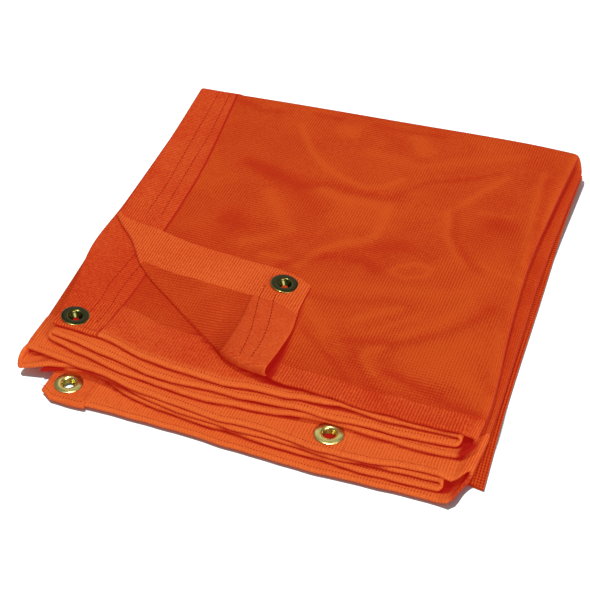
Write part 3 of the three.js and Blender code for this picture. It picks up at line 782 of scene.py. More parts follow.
def brass_material(look, name, centre, painted_dark_reflection, reflection_darkening):
    """Brass with a painted dark reflection: a dark ring on the flange and darker brass, the rim outside the
    ring left bright; dull spots at random.
    """
    s = Shader(name)
    flat = s.vector("MULTIPLY", s.vector("SUBTRACT", s.place(), centre), (1, 1, 0))
    radius = s.value("ShaderNodeVectorMath", "Value", {"operation": "LENGTH"}, {0: flat})
    inner = radius.between(*BRASS_RING["inner"])
    outer = 1 - radius.between(*BRASS_RING["outer"])
    # Painted dark reflection: a dark ring on the flange, and the whole brass darker by a share
    ring = (inner * 0.65 + 0.35) * outer * painted_dark_reflection
    spots = s.noise(260.0, 4.0, 0.6).between(0.35, 0.75)
    base = s.blend(spots * 0.4 + reflection_darkening, look.brass, look.brass_shade)
    return s.finish({
        "Base Color": s.blend(ring + reflection_darkening * 0.5, base, look.painted_dark_reflection),
        "Metallic": 1.0,
        "Roughness": spots * 0.12 + 0.22,
        "Normal": s.bump(s.noise(700.0, 2.0), 0.00003, 0.5),
    })


def floor_material(look):
    s = Shader("pale_floor")
    return s.finish({"Base Color": look.floor, "Roughness": 0.9, "Specular IOR Level": 0.1})


MATERIALS = {}


def colour(**settings):
    """A colour property, given its name, description and default."""
    return bpy.props.FloatVectorProperty(size=3, subtype="COLOR", min=0, max=1, **settings)


class TarpCloth(bpy.types.PropertyGroup):
    mesh_pitch: bpy.props.FloatProperty(
        name="Mesh pitch", description="Distance from one hole of the mesh to the next",
        default=0.0022, min=0.0005, unit="LENGTH")
    rib_pitch: bpy.props.FloatProperty(
        name="Rib pitch", description="Distance from one rib of the hem to the next",
        default=0.0022, min=0.0004, unit="LENGTH")
    mesh_stretch: bpy.props.FloatProperty(
        name="Mesh stretch", description="How much longer than wide a cell of the mesh is",
        default=1.25, min=0.5, max=3, subtype="FACTOR")
    watering: bpy.props.FloatProperty(
        name="Watering", description="How far the ply beneath drifts under the mesh",
        default=0.018, min=0, unit="LENGTH")
    sheerness: bpy.props.FloatProperty(
        name="Sheerness", description="How clear the open holes are",
        default=0.4, min=0, max=1, subtype="FACTOR")
    # Lit and shaded copies of the yarn colour, between which the stored tone paints light and shade
    yarn_light: colour(name="Yarn, light", description="Mesh yarn on a ridge", default=(0.27, 0.057, 0.007))
    yarn_shade: colour(name="Yarn, shade", description="Mesh yarn in a trough", default=(0.17, 0.019, 0.003))
    # Painted shade: the ply beneath, shaded, as it shows through a hole
    under: colour(name="Under-ply", description="Ply beneath, seen through a hole",
                  default=(0.2, 0.02, 0.005))
    # Painted glow: this colour and strength make a red emission that stands in for light through the cloth
    # and light bounced into its shade
    through: colour(name="Light through the cloth",
                    description="Colour of the light that comes through the cloth",
                    default=(0.54, 0.008, 0.003))
    glow: bpy.props.FloatProperty(
        name="Light through the cloth, strength", description="How much light comes through the cloth",
        default=0.46, min=0, max=1, subtype="FACTOR")
    # Painted shade: colours of the dark lines and deep shade that the stored line paints, and of their glow
    seam: colour(name="Seam line", description="Shadowed line along a seam or a crease",
                 default=(0.1, 0.005, 0.002))
    painted_shade_glow: colour(name="Light in a seam line",
                      description="Colour of the light that reaches a shadowed line",
                      default=(0.62, 0.008, 0.005))
    # Painted shade: the deepest, where the holes of two plies line up
    gap: colour(name="Gap", description="Where the holes of two plies line up", default=(0.12, 0.008, 0.003))
    # Lit and shaded copies of the hem colour
    hem_light: colour(name="Hem, light", description="Hem where it is brightest", default=(0.39, 0.1, 0.019))
    hem_shade: colour(name="Hem, shade", description="Hem where it is darkest", default=(0.2, 0.018, 0.003))
    thread_light: colour(name="Thread, light", description="Stitching thread", default=(0.2, 0.01, 0.003))
    # Painted highlight: pale thread for the glints of the stitches on the turned corner
    thread_glint: colour(name="Thread, pale", description="Worn thread that glints on the turned corner",
                        default=(0.62, 0.16, 0.05))
    thread_shade: colour(name="Thread, shade", description="Stitching thread in its grooves",
                         default=(0.12, 0.005, 0.002))


class TarpMetal(bpy.types.PropertyGroup):
    brass: colour(name="Brass", description="Polished brass", default=(0.78, 0.68, 0.24))
    # The shade colour serves for dull spots at random and for the painted dark reflection of the darkened
    # eyelets
    brass_shade: colour(name="Brass, shade", description="Dull spots on the brass",
                        default=(0.27, 0.25, 0.06))
    # Painted dark reflection: colour of the dark ring on the flange
    painted_dark_reflection: colour(name="Tarnish", description="Dark ring on a tarnished flange",
                    default=(0.034, 0.032, 0.012))


class TarpStage(bpy.types.PropertyGroup):
    floor: colour(name="Floor", description="Pale floor", default=(0.78, 0.93, 0.93))
    key: bpy.props.FloatProperty(
        name="Key light", description="Strength of the sun-like key light",
        default=2.0, min=0)
    floor_key: bpy.props.FloatProperty(
        name="Key light on the floor", description="Strength of the key light that only the floor gets",
        default=4.1, min=0)
    softbox: bpy.props.FloatProperty(
        name="Softbox", description="Power of the large soft light behind, which the brass mirrors",
        default=2.0, min=0)
    front: bpy.props.FloatProperty(
        name="Front light", description="Strength of the soft light from the viewer's side",
        default=3.2, min=0)
    fill: bpy.props.FloatProperty(
        name="Fill light", description="Strength of the even light from all round",
        default=0.24, min=0)


def flap_height(x, y):
    """The corner lies on the top ply, and rounds over to the crease between its two hems."""
    x, y = np.asarray(x, float), np.asarray(y, float)
    clear = mix(FLAP["left_clear"], FLAP["clear"], rise(x, *FLAP_RAMPS["clear"]))
    inward = np.clip((y - follow(CREASE, x)) / FLAP["roundover"], 0, 1)
    between = rise(x, *FLAP_RAMPS["left_hem"]) * (1 - rise(x, *FLAP_RAMPS["right_hem"]))
    rounded = 1 - np.sqrt(1 - (1 - inward) ** 2)
    clear = mix(clear, FLAP["edge_clear"], rounded * between)
    lift = rise(x, *FLAP_RAMPS["lift"]) * follow(FLAP_LIFT, y)
    return height_of(TOP_PLY, x, y) + clear + lift


def eyelet_centre(name):
    """Middle of the cloth under an eyelet, in the frame."""
    place = EYELET_PLACES[name]
    x, y = place["x"], place["y"]
    z = flap_height(x, y) if name == "flap" else height_of(place["ply"], x, y)
    return ((np.array([x, y, float(z)]) - STACK_CENTRE) * MM).tolist()


class TARP_OT_materials(bpy.types.Operator):
    """Make the cloth, thread and brass finishes"""
    bl_idname = "tarp.materials"
    bl_label = "Finishes"

    def execute(self, context):
        look = context.scene.tarp_cloth
        MATERIALS["mesh"] = mesh_material(look, "knitted_mesh", 2)
        MATERIALS["open_mesh"] = mesh_material(look, "open_mesh", 1)
        MATERIALS["hem"] = hem_material(look)
        MATERIALS["thread"] = thread_material(look, "stitch_thread", look.thread_light, look.thread_shade)
        MATERIALS["pale_thread"] = thread_material(look, "pale_thread", look.thread_glint, look.hem_light)
        for name in EYELET_PLACES:
            ring, reflection_darkening = BRASS_DARKENING["darkened" if name in DARKENED_EYELETS["names"] else "bright"]
            MATERIALS["brass_" + name] = brass_material(
                context.scene.tarp_metal, "brass_" + name, eyelet_centre(name), ring, reflection_darkening)
        MATERIALS["floor"] = floor_material(context.scene.tarp_stage)
        return {"FINISHED"}


def cloth_uv(grid, spots):
    """Cloth coordinates in millimetres: along the folded path, and down from the front edge."""
    across = np.zeros(grid.shape[:2])
    across[1:] = np.cumsum(np.linalg.norm(np.diff(grid, axis=0), axis=2).mean(axis=1))[:, None]
    flat = spots.part != "bend"
    side = np.where(spots.run % 2 == 0, 1, -1)
    across[flat] = (side[:, None] * grid[..., 0] + CLOTH_STEP * spots.run[:, None])[flat]
    down = np.zeros(grid.shape[:2])
    down[:, 1:] = np.cumsum(np.linalg.norm(np.diff(grid, axis=1), axis=2), axis=1)
    down[:, LOW_ARM] = grid[:, LOW_ARM, 1]
    down[:, PAST_FOLD] = CLOTH_STEP - grid[:, PAST_FOLD, 1]
    return np.stack([across, down], axis=2)


def mesh_and_hem(uv, side):
    """Coordinates for the mesh, and for the hem, whose ribs turn on a side hem."""
    return np.stack([uv, np.where(side[..., None], uv[..., ::-1], uv)])


def whole_cells(points):
    """The cells whose four corners are all among these points."""
    return points[:-1, :-1] & points[1:, :-1] & points[:-1, 1:] & points[1:, 1:]


def front_tone(depths):
    """Painted light: a hem is lightest along its rounded front edge."""
    return mix(HEM_TONES["front"], HEM_TONES["edge"], 1 - rise(depths, *TONE_RAMPS["front"]))


def wrap_shares(spots):
    """How far round the wrap each spot lies, 0 elsewhere."""
    return np.where((spots.run == 0) & (spots.part == "bend"), spots.share, 0)[:, None]


def cloth_tones(spots, grid):
    """Painted light and shade on the cloth: fronts of the lower plies lighter, the wraps lit and shaded, the
    top sheet streaked with light ridges, shaded troughs and the watering of the plies.
    """
    tone = np.zeros(grid.shape[:2])
    depths = np.array(HEM_ROWS)
    tone[:, LOW_FRONT] = front_tone(depths)
    depths = depths[::-1]
    tone[:, TOP_FRONT] = front_tone(depths)
    top, second, side = spots.run == 0, spots.run == 3, spots.part == "hem"
    tone[top, TOP_ARM] = 0
    tone[top, TOP_FRONT] = HEM_TONES["top_front"] * (1 - rise(depths, *TONE_RAMPS["top_front"]))
    edge = 1 - rise(depths, *TONE_RAMPS["second_front"])
    tone[second, TOP_FRONT] = mix(HEM_TONES["second_front"], HEM_TONES["edge"], edge)
    tone[second & ~side, TOP_FIELD] = HEM_TONES["second_mesh"]
    tone[(top | second) & side, TOP_ARM] = HEM_TONES["top_side"]
    # Painted light on the ridges and painted shade in the troughs of the top sheet, together with its
    # watering
    tone[top, TOP_ARM] += STREAK_TONE * streak_tone(grid[top, TOP_ARM, 0], grid[top, TOP_ARM, 1])
    # Painted light on the turned side of the top wrap, painted shade on the low wrap
    wrap = wrap_shares(spots)
    turned = rise(wrap, *TONE_RAMPS["wrap"])
    tone[:, TOP_ARM] += WRAP_TONE["top"] * (turned * (1 - rise(wrap, *TONE_RAMPS["wrap_end"])))
    tone[:, LOW_ARM] += WRAP_TONE["low"] * turned
    return tone


def cloth_lines(spots, grid):
    """Painted shade: dark lines along the inner edges of the side hems, and deep shade on fronts that are
    covered, beside the turned corner, under the top ply's edge and on the wraps.
    """
    line = np.zeros(grid.shape[:2])

    def places(rows, part):
        return grid[rows, part, 0], grid[rows, part, 1]

    def darken(rows, part, shade):
        line[rows, part] = np.maximum(line[rows, part], shade)

    hem, field = spots.part == "hem", spots.part == "field"
    at_edge = (hem & (spots.share == 1)) | (field & (spots.share == 0))
    for run, strength in HEM_LINES.items():
        darken(at_edge & (spots.run == run), TOP_ARM, strength)
    x, y = places(spots.run == 0, TOP_ARM)
    shade = smooth((follow(CORNER_SHADE, y) - x) / CORNER_SHADE_ENDS["soft"] + 0.5)
    shade = shade * smooth((CORNER_SHADE_ENDS["until_y"] - y) / CORNER_SHADE_ENDS["fade"])
    shade = shade * (x > CORNER_SHADE_ENDS["from_x"])
    darken(spots.run == 0, TOP_ARM, shade)
    x, y = places(spots.run == 3, TOP_ARM)
    shade = smooth((y - follow(EDGE_SHADE, x)) / EDGE_SHADE_ENDS["soft"] + 0.5)
    shade = shade * (x > EDGE_SHADE_ENDS["from_x"]) * (x < EDGE_SHADE_ENDS["until_x"])
    darken(spots.run == 3, TOP_ARM, shade)
    for arm, part in (("low", LOW_FRONT), ("top", TOP_FRONT)):
        for run, ply in enumerate(PLIES[arm]):
            if ply < TOP_PLY:
                rows = (spots.run == run) & (hem | field)
                x, y = places(rows, part)
                covered = smooth((y - front_of(ply + 1, x)) / COVERED["soft"] + COVERED["share"])
                opened = rise(x, *COVERED["open_end"]) if ply == COVERED["open_ply"] else 1
                darken(rows, part, covered * opened)
    wrap = wrap_shares(spots)
    darken(slice(None), TOP_ARM, rise(wrap, WRAP_LINE["top"], WRAP_LINE["over"]))
    shade = (wrap > 0) * (1 - rise(wrap, WRAP_LINE["low"], WRAP_LINE["over"]))
    darken(slice(None), LOW_ARM, WRAP_LINE["low_strength"] * shade)
    rows = (spots.run == 1) & field
    x, y = places(rows, LOW_ARM)
    under = smooth((side_at("top_right", y) - WRAP_SHADE["top"] - x) / WRAP_SHADE["soft"])
    darken(rows, LOW_ARM, under * (x > WRAP_SHADE["from_x"]) * (y > WRAP_SHADE["from_y"]))
    rows = (spots.run == 3) & hem
    line[rows, LOW_FRONT] = 1 - rise(grid[rows, LOW_FRONT, 0], *END_SHADE)
    return line


def cloth_openness(spots, grid):
    """How open the mesh is. On a hem it is how plain the weave is, with fainter ribs."""
    holes = np.full(grid.shape[:2], HOLES["top"])
    upper = (spots.run == 0) | (spots.run == 3)
    holes[upper, TOP_FRONT] = HOLES["upper_hem"]
    holes[upper & (spots.part == "hem"), TOP_ARM] = HOLES["upper_hem"]
    for *place, openness in OPEN_PLACES:
        holes = np.maximum(holes, openness * hump(grid[..., 0], grid[..., 1], *place))
    return holes


def outside_strips(spots, columns):
    """The cells that aren't in a hem strip that holds an eyelet."""
    kept = np.ones((len(spots) - 1, columns - 1), bool)
    hem_cells = sum(row < HEM_WIDTH for row in HEM_ROWS) - 1
    here, there = spots[:-1], spots[1:]
    side_hem = (here.part == "hem") & (there.part == "hem")
    kept[side_hem & (here.run == 0), :hem_cells] = False
    kept[side_hem & (here.run == 3), -hem_cells:] = False
    start, end = MIDDLE_STRIP
    middle = (here.run == 1) & (here.part == "field") & (there.part == "field")
    middle &= (1 - here.share > start - 1e-6) & (1 - there.share < end + 1e-6)
    kept[middle, :hem_cells] = False
    return kept


class TARP_OT_cloth(bpy.types.Operator):
    """Build the folded sheet of mesh with its hems"""
    bl_idname = "tarp.cloth"
    bl_label = "Folded cloth"

    def execute(self, context):
        spots = path_spots()
        grid = np.stack([crossing(spot) for spot in spots])
        columns = grid.shape[1]
        from_front = np.full(columns, FAR)
        from_front[LOW_FRONT] = HEM_ROWS
        from_front[TOP_FRONT] = HEM_ROWS[::-1]
        from_end = np.where(spots.part == "hem", spots.share * HEM_WIDTH, FAR)[:, None]
        front_hem, side_hem = from_front <= HEM_WIDTH, from_end <= HEM_WIDTH
        top_front = np.zeros(grid.shape[:2], bool)
        top_front[spots.run == 0, TOP_FRONT] = True
        # Along the crease the front hem is on the turned corner
        on_crease = np.array([
            spot.run == 0 and spot.part != "bend" and place_on("top", spot, WORKING_Y)[0] < CREASE_END
            for spot in spots])
        crease = top_front & on_crease[:, None]
        hem = side_hem | front_hem & ~(crease | top_front & (from_front > TOP_FRONT_HEM))
        thickness = np.where(hem, hem_thickness(from_front), MESH_THICKNESS)
        fade = 1 - TOP_FRONT_FADE["share"] * rise(from_front, *TOP_FRONT_FADE["ramp"])
        thickness = np.where(top_front & ~side_hem, thickness * fade, thickness)
        rounding = np.where(crease & ~side_hem, 1.0, edge_profile(np.minimum(from_front, from_end)))
        thickness = np.maximum(thickness, MESH_THICKNESS) * rounding
        uv = mesh_and_hem(cloth_uv(grid, spots), side_hem & ~front_hem)
        cloth = sheet_object(
            "tarp_cloth", grid, thickness, uv, ["mesh", "hem"], whole_cells(hem),
            outside_strips(spots, columns), cloth_tones(spots, grid), cloth_lines(spots, grid),
            cloth_openness(spots, grid))
        dress(cloth, "mesh_cloth", "folded_cloth")
        return {"FINISHED"}


def punched(obj, name):
    """Cuts an eyelet's hole through a strip or the turned corner."""
    bpy.ops.mesh.primitive_cylinder_add(vertices=64, radius=PUNCH_RADIUS * MM, depth=PUNCH_DEPTH * MM,
                                        location=eyelet_centre(name))
    punch = bpy.context.active_object
    cut = obj.modifiers.new("hole", "BOOLEAN")
    cut.operation = "DIFFERENCE"
    cut.solver = "EXACT"
    cut.object = punch
    plain_mesh(obj)
    bpy.data.objects.remove(punch)


def strip_grid(name):
    """Middle points of a hem strip, with its distance from the front edge and from its end."""
    arm, run = STRIPS[name]
    depths = np.array([*HEM_ROWS[:8], *np.linspace(8, HEM_WIDTH - PIECE_GAP, 24)])
    if name == "middle":
        start, end = MIDDLE_STRIP
        shares = 1 - np.linspace(start + STRIP_GAP, end - STRIP_GAP, 30)
        from_end = np.full(len(shares), FAR)
    else:
        shares = np.array([0, 0.006, 0.016, 0.03, *np.linspace(0.07, 0.997, 26)])
        from_end = shares * HEM_WIDTH
    spots = spots_of((run, "field" if name == "middle" else "hem", shares))
    grid = np.stack([arm_line(arm, spot, depths, np.zeros(len(depths))) for spot in spots])
    if name == "bottom":
        grid[..., 1] -= PATCH["out"] * (1 - smooth(depths / PATCH["over"]))
    return grid, depths, from_end[:, None]


class TARP_OT_strips(bpy.types.Operator):
    """Build the stretches of hem that hold an eyelet"""
    bl_idname = "tarp.strips"
    bl_label = "Eyelet strips"

    def execute(self, context):
        for name in STRIPS:
            grid, depths, from_end = strip_grid(name)
            thickness = hem_thickness(depths) * edge_profile(np.minimum(depths, from_end))
            if name == "bottom":
                thickness = thickness + PATCH["thicker"]
            # Painted light and shade as on the hems the strips belong to
            tone = HEM_TONES["top_side"] if name == "left" else front_tone(depths)
            plain = HOLES["patch" if name == "bottom" else "top"]
            strip = sheet_object("hem_" + name, grid, thickness, grid[..., :2], ["hem"],
                                 tone=tone, holes=plain)
            punched(strip, name)
            dress(strip, "hem_cloth", "hem_strip_" + name)
        return {"FINISHED"}


def flap_grid():
    """Middle points of the turned corner: columns go down from its top edge to the crease."""
    band = FLAP["band_share"]
    shares = np.array([0, 0.01, *np.linspace(0.03, band - 0.004, 60), band,
                       *np.linspace(band + 0.01, 0.985, 14), 0.993, 0.997, 1.0])
    hem_rows = np.array([0, 0.25, 0.6, 1.1, *np.linspace(3, HEM_WIDTH - 0.1, 14), HEM_WIDTH + HEM_STEP])
    inner_rows = np.array([*np.linspace(0.04, 0.98, 40), 0.99])
    lip_turns = np.linspace(0, 0.92, 10)
    nominal = mix(FLAP["left"], FLAP["right"], shares)
    top = follow(FLAP_TOP, nominal)
    height = top - follow(CREASE, nominal)
    hem = hem_rows * np.minimum(1, FLAP["hem_share"] * height / hem_rows[-1])[:, None]
    inner = mix(hem[:, -1:], height[:, None], inner_rows)
    down = np.concatenate([hem, inner, np.repeat(height[:, None], len(lip_turns), axis=1)], axis=1)
    y = top[:, None] - down
    x = mix(FLAP["left"], follow(FLAP_RIGHT, y), shares[:, None])
    z = flap_height(x, y)
    # The lip curls over the crease, down to the ply below or further right onto the top ply
    turn = np.zeros(down.shape[1])
    turn[-len(lip_turns):] = lip_turns * math.pi
    slope = (follow(CREASE, nominal + 2) - follow(CREASE, nominal - 2)) / 4
    out = np.stack([slope, -np.ones(len(slope))], axis=1) / np.sqrt(1 + slope**2)[:, None]
    on_hem = np.maximum(1 - rise(x, *LIP["hem_x"]), 1 - rise(y, *LIP["hem_y"]))
    under = height_of(TOP_PLY - 1, x, y) + mix(MESH_THICKNESS, HEM_THICKNESS, on_hem) / 2 + LIP["gap"]
    level = mix(under, height_of(TOP_PLY, x, y), rise(x, *LIP["on_top"]))
    half = (z - level) / 2
    reach = LIP["out"] * half * np.sin(turn)
    points = [x + out[:, :1] * reach, y + out[:, 1:] * reach, z - half * (1 - np.cos(turn))]
    return np.stack(points, axis=2), shares, down


class TARP_OT_corner(bpy.types.Operator):
    """Build the corner that is turned back over the top"""
    bl_idname = "tarp.corner"
    bl_label = "Turned corner"

    def execute(self, context):
        grid, shares, down = flap_grid()
        from_right = grid[-1, :, 0] - grid[..., 0]
        side_band = (shares >= FLAP["band_share"])[:, None]
        top_rows = np.arange(grid.shape[1]) < FLAP["hem_columns"]
        top_hem = top_rows | (down.max(axis=1) < HEM_WIDTH + FLAP["short_side"])[:, None]
        hem = side_band | top_hem
        thickness = np.where(hem, HEM_THICKNESS, MESH_THICKNESS) * edge_profile(np.minimum(down, from_right))
        uv = mesh_and_hem(grid[..., :2], side_band & ~top_rows)
        # Painted light on the turned corner's hems
        tone = np.where(top_hem, HEM_TONES["flap_top"], np.where(side_band, HEM_TONES["flap_side"], 0.0))
        upper, rightward = 1 - rise(down, *FLAP_HOLES["down"]), rise(grid[..., 0], *FLAP_HOLES["across"])
        holes = FLAP_HOLES["least"] + FLAP_HOLES["more"] * np.maximum(upper, rightward)
        holes = np.where(top_hem, FLAP_HOLES["hem"], np.where(side_band, HOLES["patch"], holes))
        corner = sheet_object("corner_flap", grid, thickness, uv, ["mesh", "hem"], whole_cells(hem),
                              tone=tone, holes=holes)
        punched(corner, "flap")
        dress(corner, "mesh_cloth", "turned_corner")
        return {"FINISHED"}


class TARP_OT_base(bpy.types.Operator):
    """Build the flat fold of plain mesh under the stack"""
    bl_idname = "tarp.base"
    bl_label = "Base fold"

    def execute(self, context):
        half = (BASE["high"] - BASE["low"]) / 2
        # Each step of the path: its share of the width, and how far it stands out and up
        shares = np.concatenate([np.linspace(0, 0.95, 46), np.linspace(0.955, 1, 18)])[:-1]
        path = [(share, 0, -half) for share in shares]
        path += [(1.0, half * math.sin(a), -half * math.cos(a)) for a in np.linspace(0, math.pi, 11)]
        path += [(share, 0, half) for share in shares[::-1]]
        lines = []
        for share, out, up in path:
            nominal = mix(BASE["left"], BASE["right"], share)
            back = follow(BACK_FOLD, nominal) + BASE["back_out"]
            y = mix(follow(BASE_FRONT, nominal), back, np.linspace(0, 1, 70))
            right = side_at("base_right", y) - half - BASE["thickness"] / 2
            x = mix(BASE["left"], right, share) + out
            lines.append(np.stack([x, y, np.full(len(y), BASE["low"] + half + up)], axis=1))
        grid = np.stack(lines)
        walked = np.cumsum(np.r_[0, np.linalg.norm(np.diff(grid[:, 0], axis=0), axis=1)])
        uv = np.stack([np.broadcast_to(walked[:, None], grid.shape[:2]), grid[..., 1]], axis=2)
        # Painted shade on the base under and beside the low wrap
        edge = side_at("low_right", grid[..., 1]) - WRAP_SHADE["low"]
        shade = smooth((edge - grid[..., 0]) / WRAP_SHADE["soft"])
        base = sheet_object("base_fold", grid, BASE["thickness"], uv, ["open_mesh"], line=shade,
                            holes=HOLES["base"])
        dress(base, "mesh_cloth")
        return {"FINISHED"}


def eyelet_profile(throat):
    """Radius and height of a pressed brass shell, from its foot up the barrel and over the dome."""
    hole, barrel, flange, seat, foot = (EYELET[k] for k in ("hole", "barrel", "flange", "seat", "foot"))
    outside = [(throat, foot), (barrel, foot), (barrel, seat)]
    rim = [(flange - 0.25, seat), (flange - 0.05, seat + 0.12), (flange, seat + 0.3),
           (flange - 0.1, seat + 0.48)]
    crown = [(flange - 0.45, seat + 0.62), (flange - 1.2, seat + 0.8), (flange - 2.3, seat + 0.97),
             (flange - 3.4, seat + 1.0), (hole + 1.4, seat + 0.92), (hole + 0.8, seat + 0.72),
             (hole + 0.35, seat + 0.36), (hole + 0.08, seat - 0.1), (hole, seat - 0.6)]
    return np.array(outside + rim + crown)


def lathe(name, profile, centre, tilt, sides=72):
    """A closed profile turned round the Z axis, leaning by some degrees."""
    angles = np.linspace(0, 2 * math.pi, sides, endpoint=False)
    ring = np.stack([np.cos(angles), np.sin(angles)], axis=1)
    points = np.concatenate([
        np.repeat(profile[:, 0], sides)[:, None] * np.tile(ring, (len(profile), 1)),
        np.repeat(profile[:, 1], sides)[:, None]], axis=1)
    points[:, 2] -= math.tan(math.radians(tilt)) * (points[:, :2] @ TILT_DOWN)
    faces = []
    for k in range(len(profile)):
        below, above = k * sides, (k + 1) % len(profile) * sides
        for a in range(sides):
            b = (a + 1) % sides
            faces.append((below + a, below + b, above + b, above + a))
    mesh = bpy.data.meshes.new(name)
    mesh.from_pydata((points * MM + centre).tolist(), [], faces)
    return finished_shell(name, mesh, SHARP["brass"])


class TARP_OT_eyelets(bpy.types.Operator):
    """Build the brass eyelets and finish their washers"""
    bl_idname = "tarp.eyelets"
    bl_label = "Eyelets"

    def execute(self, context):
        for name in EYELET_PLACES:
            form = DARKENED_EYELETS if name in DARKENED_EYELETS["names"] else EYELET
            profile = eyelet_profile(form["throat"])
            shell = lathe("brass_eyelet_" + name, profile, eyelet_centre(name), form["tilt"])
            dress(shell, "brass", "eyelet_" + name)
            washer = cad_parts["washer_" + name]
            washer.data.materials.clear()
            for piece in (shell, washer):
                piece.data.materials.append(MATERIALS["brass_" + name])
        return {"FINISHED"}


def stitch_tree():
    """Geometry Nodes tree: short threads laid along the edges of a mesh of lines."""
    group = bpy.data.node_groups.new("stitch_rows", "GeometryNodeTree")
    group.interface.new_socket("Geometry", in_out="OUTPUT", socket_type="NodeSocketGeometry")
    kinds = {"Rows": "Geometry", "Pitch": "Float", "Length": "Float", "Width": "Float", "Thread": "Material"}
    for label, kind in kinds.items():
        group.interface.new_socket(label, in_out="INPUT", socket_type="NodeSocket" + kind)
    tree = Tree(group)
    given = tree.add("NodeGroupInput", {}, {}).outputs
    curve = tree.add("GeometryNodeMeshToCurve", {}, {"Mesh": given["Rows"]})
    places = tree.add("GeometryNodeResampleCurve", {"mode": "LENGTH"},
                      {"Curve": curve.outputs[0], "Length": given["Pitch"]})
    ball = tree.add("GeometryNodeMeshUVSphere", {}, {"Segments": 8, "Rings": 5, "Radius": 0.5})
    tangent = tree.add("GeometryNodeInputTangent", {}, {})
    align = tree.add("FunctionNodeAlignRotationToVector", {"axis": "X"}, {"Vector": tangent.outputs[0]})
    size = tree.add("ShaderNodeCombineXYZ", {}, {0: given["Length"], 1: given["Width"], 2: given["Width"]})
    threads = tree.add("GeometryNodeInstanceOnPoints", {}, {
        "Points": places.outputs[0], "Instance": ball.outputs["Mesh"], "Rotation": align.outputs[0],
        "Scale": size.outputs[0]})
    realized = tree.add("GeometryNodeRealizeInstances", {}, {0: threads.outputs[0]})
    smoothed = tree.add("GeometryNodeSetShadeSmooth", {}, {0: realized.outputs[0]})
    painted = tree.add("GeometryNodeSetMaterial", {},
                       {"Geometry": smoothed.outputs[0], "Material": given["Thread"]})
    tree.add("NodeGroupOutput", {}, {0: painted.outputs[0]})
    return group


def stitched(name, tree, rows, stitch, thread="thread"):
    """A plain mesh of stitches laid along rows of points."""
    points, edges = [], []
    for row in rows:
        start = len(points)
        points += ((row - STACK_CENTRE) * MM).tolist()
        edges += [(k, k + 1) for k in range(start, len(points) - 1)]
    mesh = bpy.data.meshes.new(name)
    mesh.from_pydata(points, edges, [])
    obj = linked(name, mesh)
    modifier = obj.modifiers.new("stitches", "NODES")
    modifier.node_group = tree
    pitch, length, width = (size * MM for size in stitch)
    values = {"Pitch": pitch, "Length": length, "Width": width, "Thread": MATERIALS[thread]}
    for item in tree.interface.items_tree:
        if item.in_out == "INPUT" and item.name in values:
            modifier[item.identifier] = values[item.name]
    return dress(plain_mesh(obj), "hem_cloth")


def ply_row(ply, x, y, above):
    """Points above the middle of a ply."""
    return np.stack([x, y, height_of(ply, x, y) + above], axis=1)


def front_row(ply, start, inset):
    """Points on a ply's upper face along its front edge."""
    x = np.linspace(start, FRONT_ROWS_END, 140)
    return ply_row(ply, x, front_of(ply, x) + inset, hem_thickness(inset) / 2 + HOLE_RISE)


def patch_row(x, y):
    """Points on the upper face of the patch round the bottom eyelet."""
    return ply_row(0, x, y, hem_thickness(y - front_of(0, x)) / 2 + PATCH["thicker"] / 2)


def flap_row(x, y):
    """Points on the upper face of the turned corner."""
    return np.stack([x, y, flap_height(x, y) + THREAD_RISE], axis=1)


class TARP_OT_stitches(bpy.types.Operator):
    """Sew the rows of stitches along the hems"""
    bl_idname = "tarp.stitches"
    bl_label = "Stitches"

    def execute(self, context):
        tree = stitch_tree()
        side_rows = []
        for ply, curve in SIDE_ROWS:
            y = np.linspace(curve[0][0], curve[0][-1], 60)
            side_rows.append(ply_row(ply, follow(curve, y), y, THREAD_RISE))
        corner_rows = []
        for start, end, steps, curve in CORNER_ROWS:
            y = np.linspace(start, end, steps)
            corner_rows.append(flap_row(follow(curve, y), y))
        x = np.linspace(*GLINT_ROWS["ends"], 80)
        glint_rows = []
        for skipped, below in GLINT_ROWS["rows"]:
            glint_rows.append(flap_row(x[skipped:], follow(FLAP_TOP, x[skipped:]) - below))
        edge_rows = [front_row(ply, start, inset) for ply, (start, inset) in FRONT_ROWS.items()]
        x, y = np.linspace(*PATCH_ROWS["x_ends"], 30), np.linspace(*PATCH_ROWS["y_ends"], 30)
        edge_rows.append(patch_row(x, front_of(0, x) + PATCH_ROWS["inset"]))
        edge_rows.append(patch_row(np.full(len(y), PATCH_ROWS["right"]), y))
        stitched("side_stitches", tree, side_rows, LONG_STITCH)
        stitched("corner_stitches", tree, corner_rows, CORNER_STITCH)
        stitched("corner_glints", tree, glint_rows, GLINT, "pale_thread")
        stitched("edge_stitches", tree, edge_rows, NEEDLE_HOLE)
        return {"FINISHED"}


def aimed(name, data, towards, place=(0, 0, 0)):
    """A light or the camera, looking in a direction."""
    obj = linked(name, data)
    obj.location = place
    obj.rotation_euler = Vector(towards).to_track_quat("-Z", "Y").to_euler()
    return obj


def sun(name, strength, towards, angle):
    """A sun whose disc has this angle in degrees."""
    lamp = bpy.data.lights.new(name, "SUN")
    lamp.energy = strength
    lamp.angle = math.radians(angle)
    return aimed(name, lamp, towards)


def floor_group(name, floor):
    """A collection for light linking that holds the floor."""
    group = bpy.data.collections.new(name)
    group.objects.link(floor)
    return group


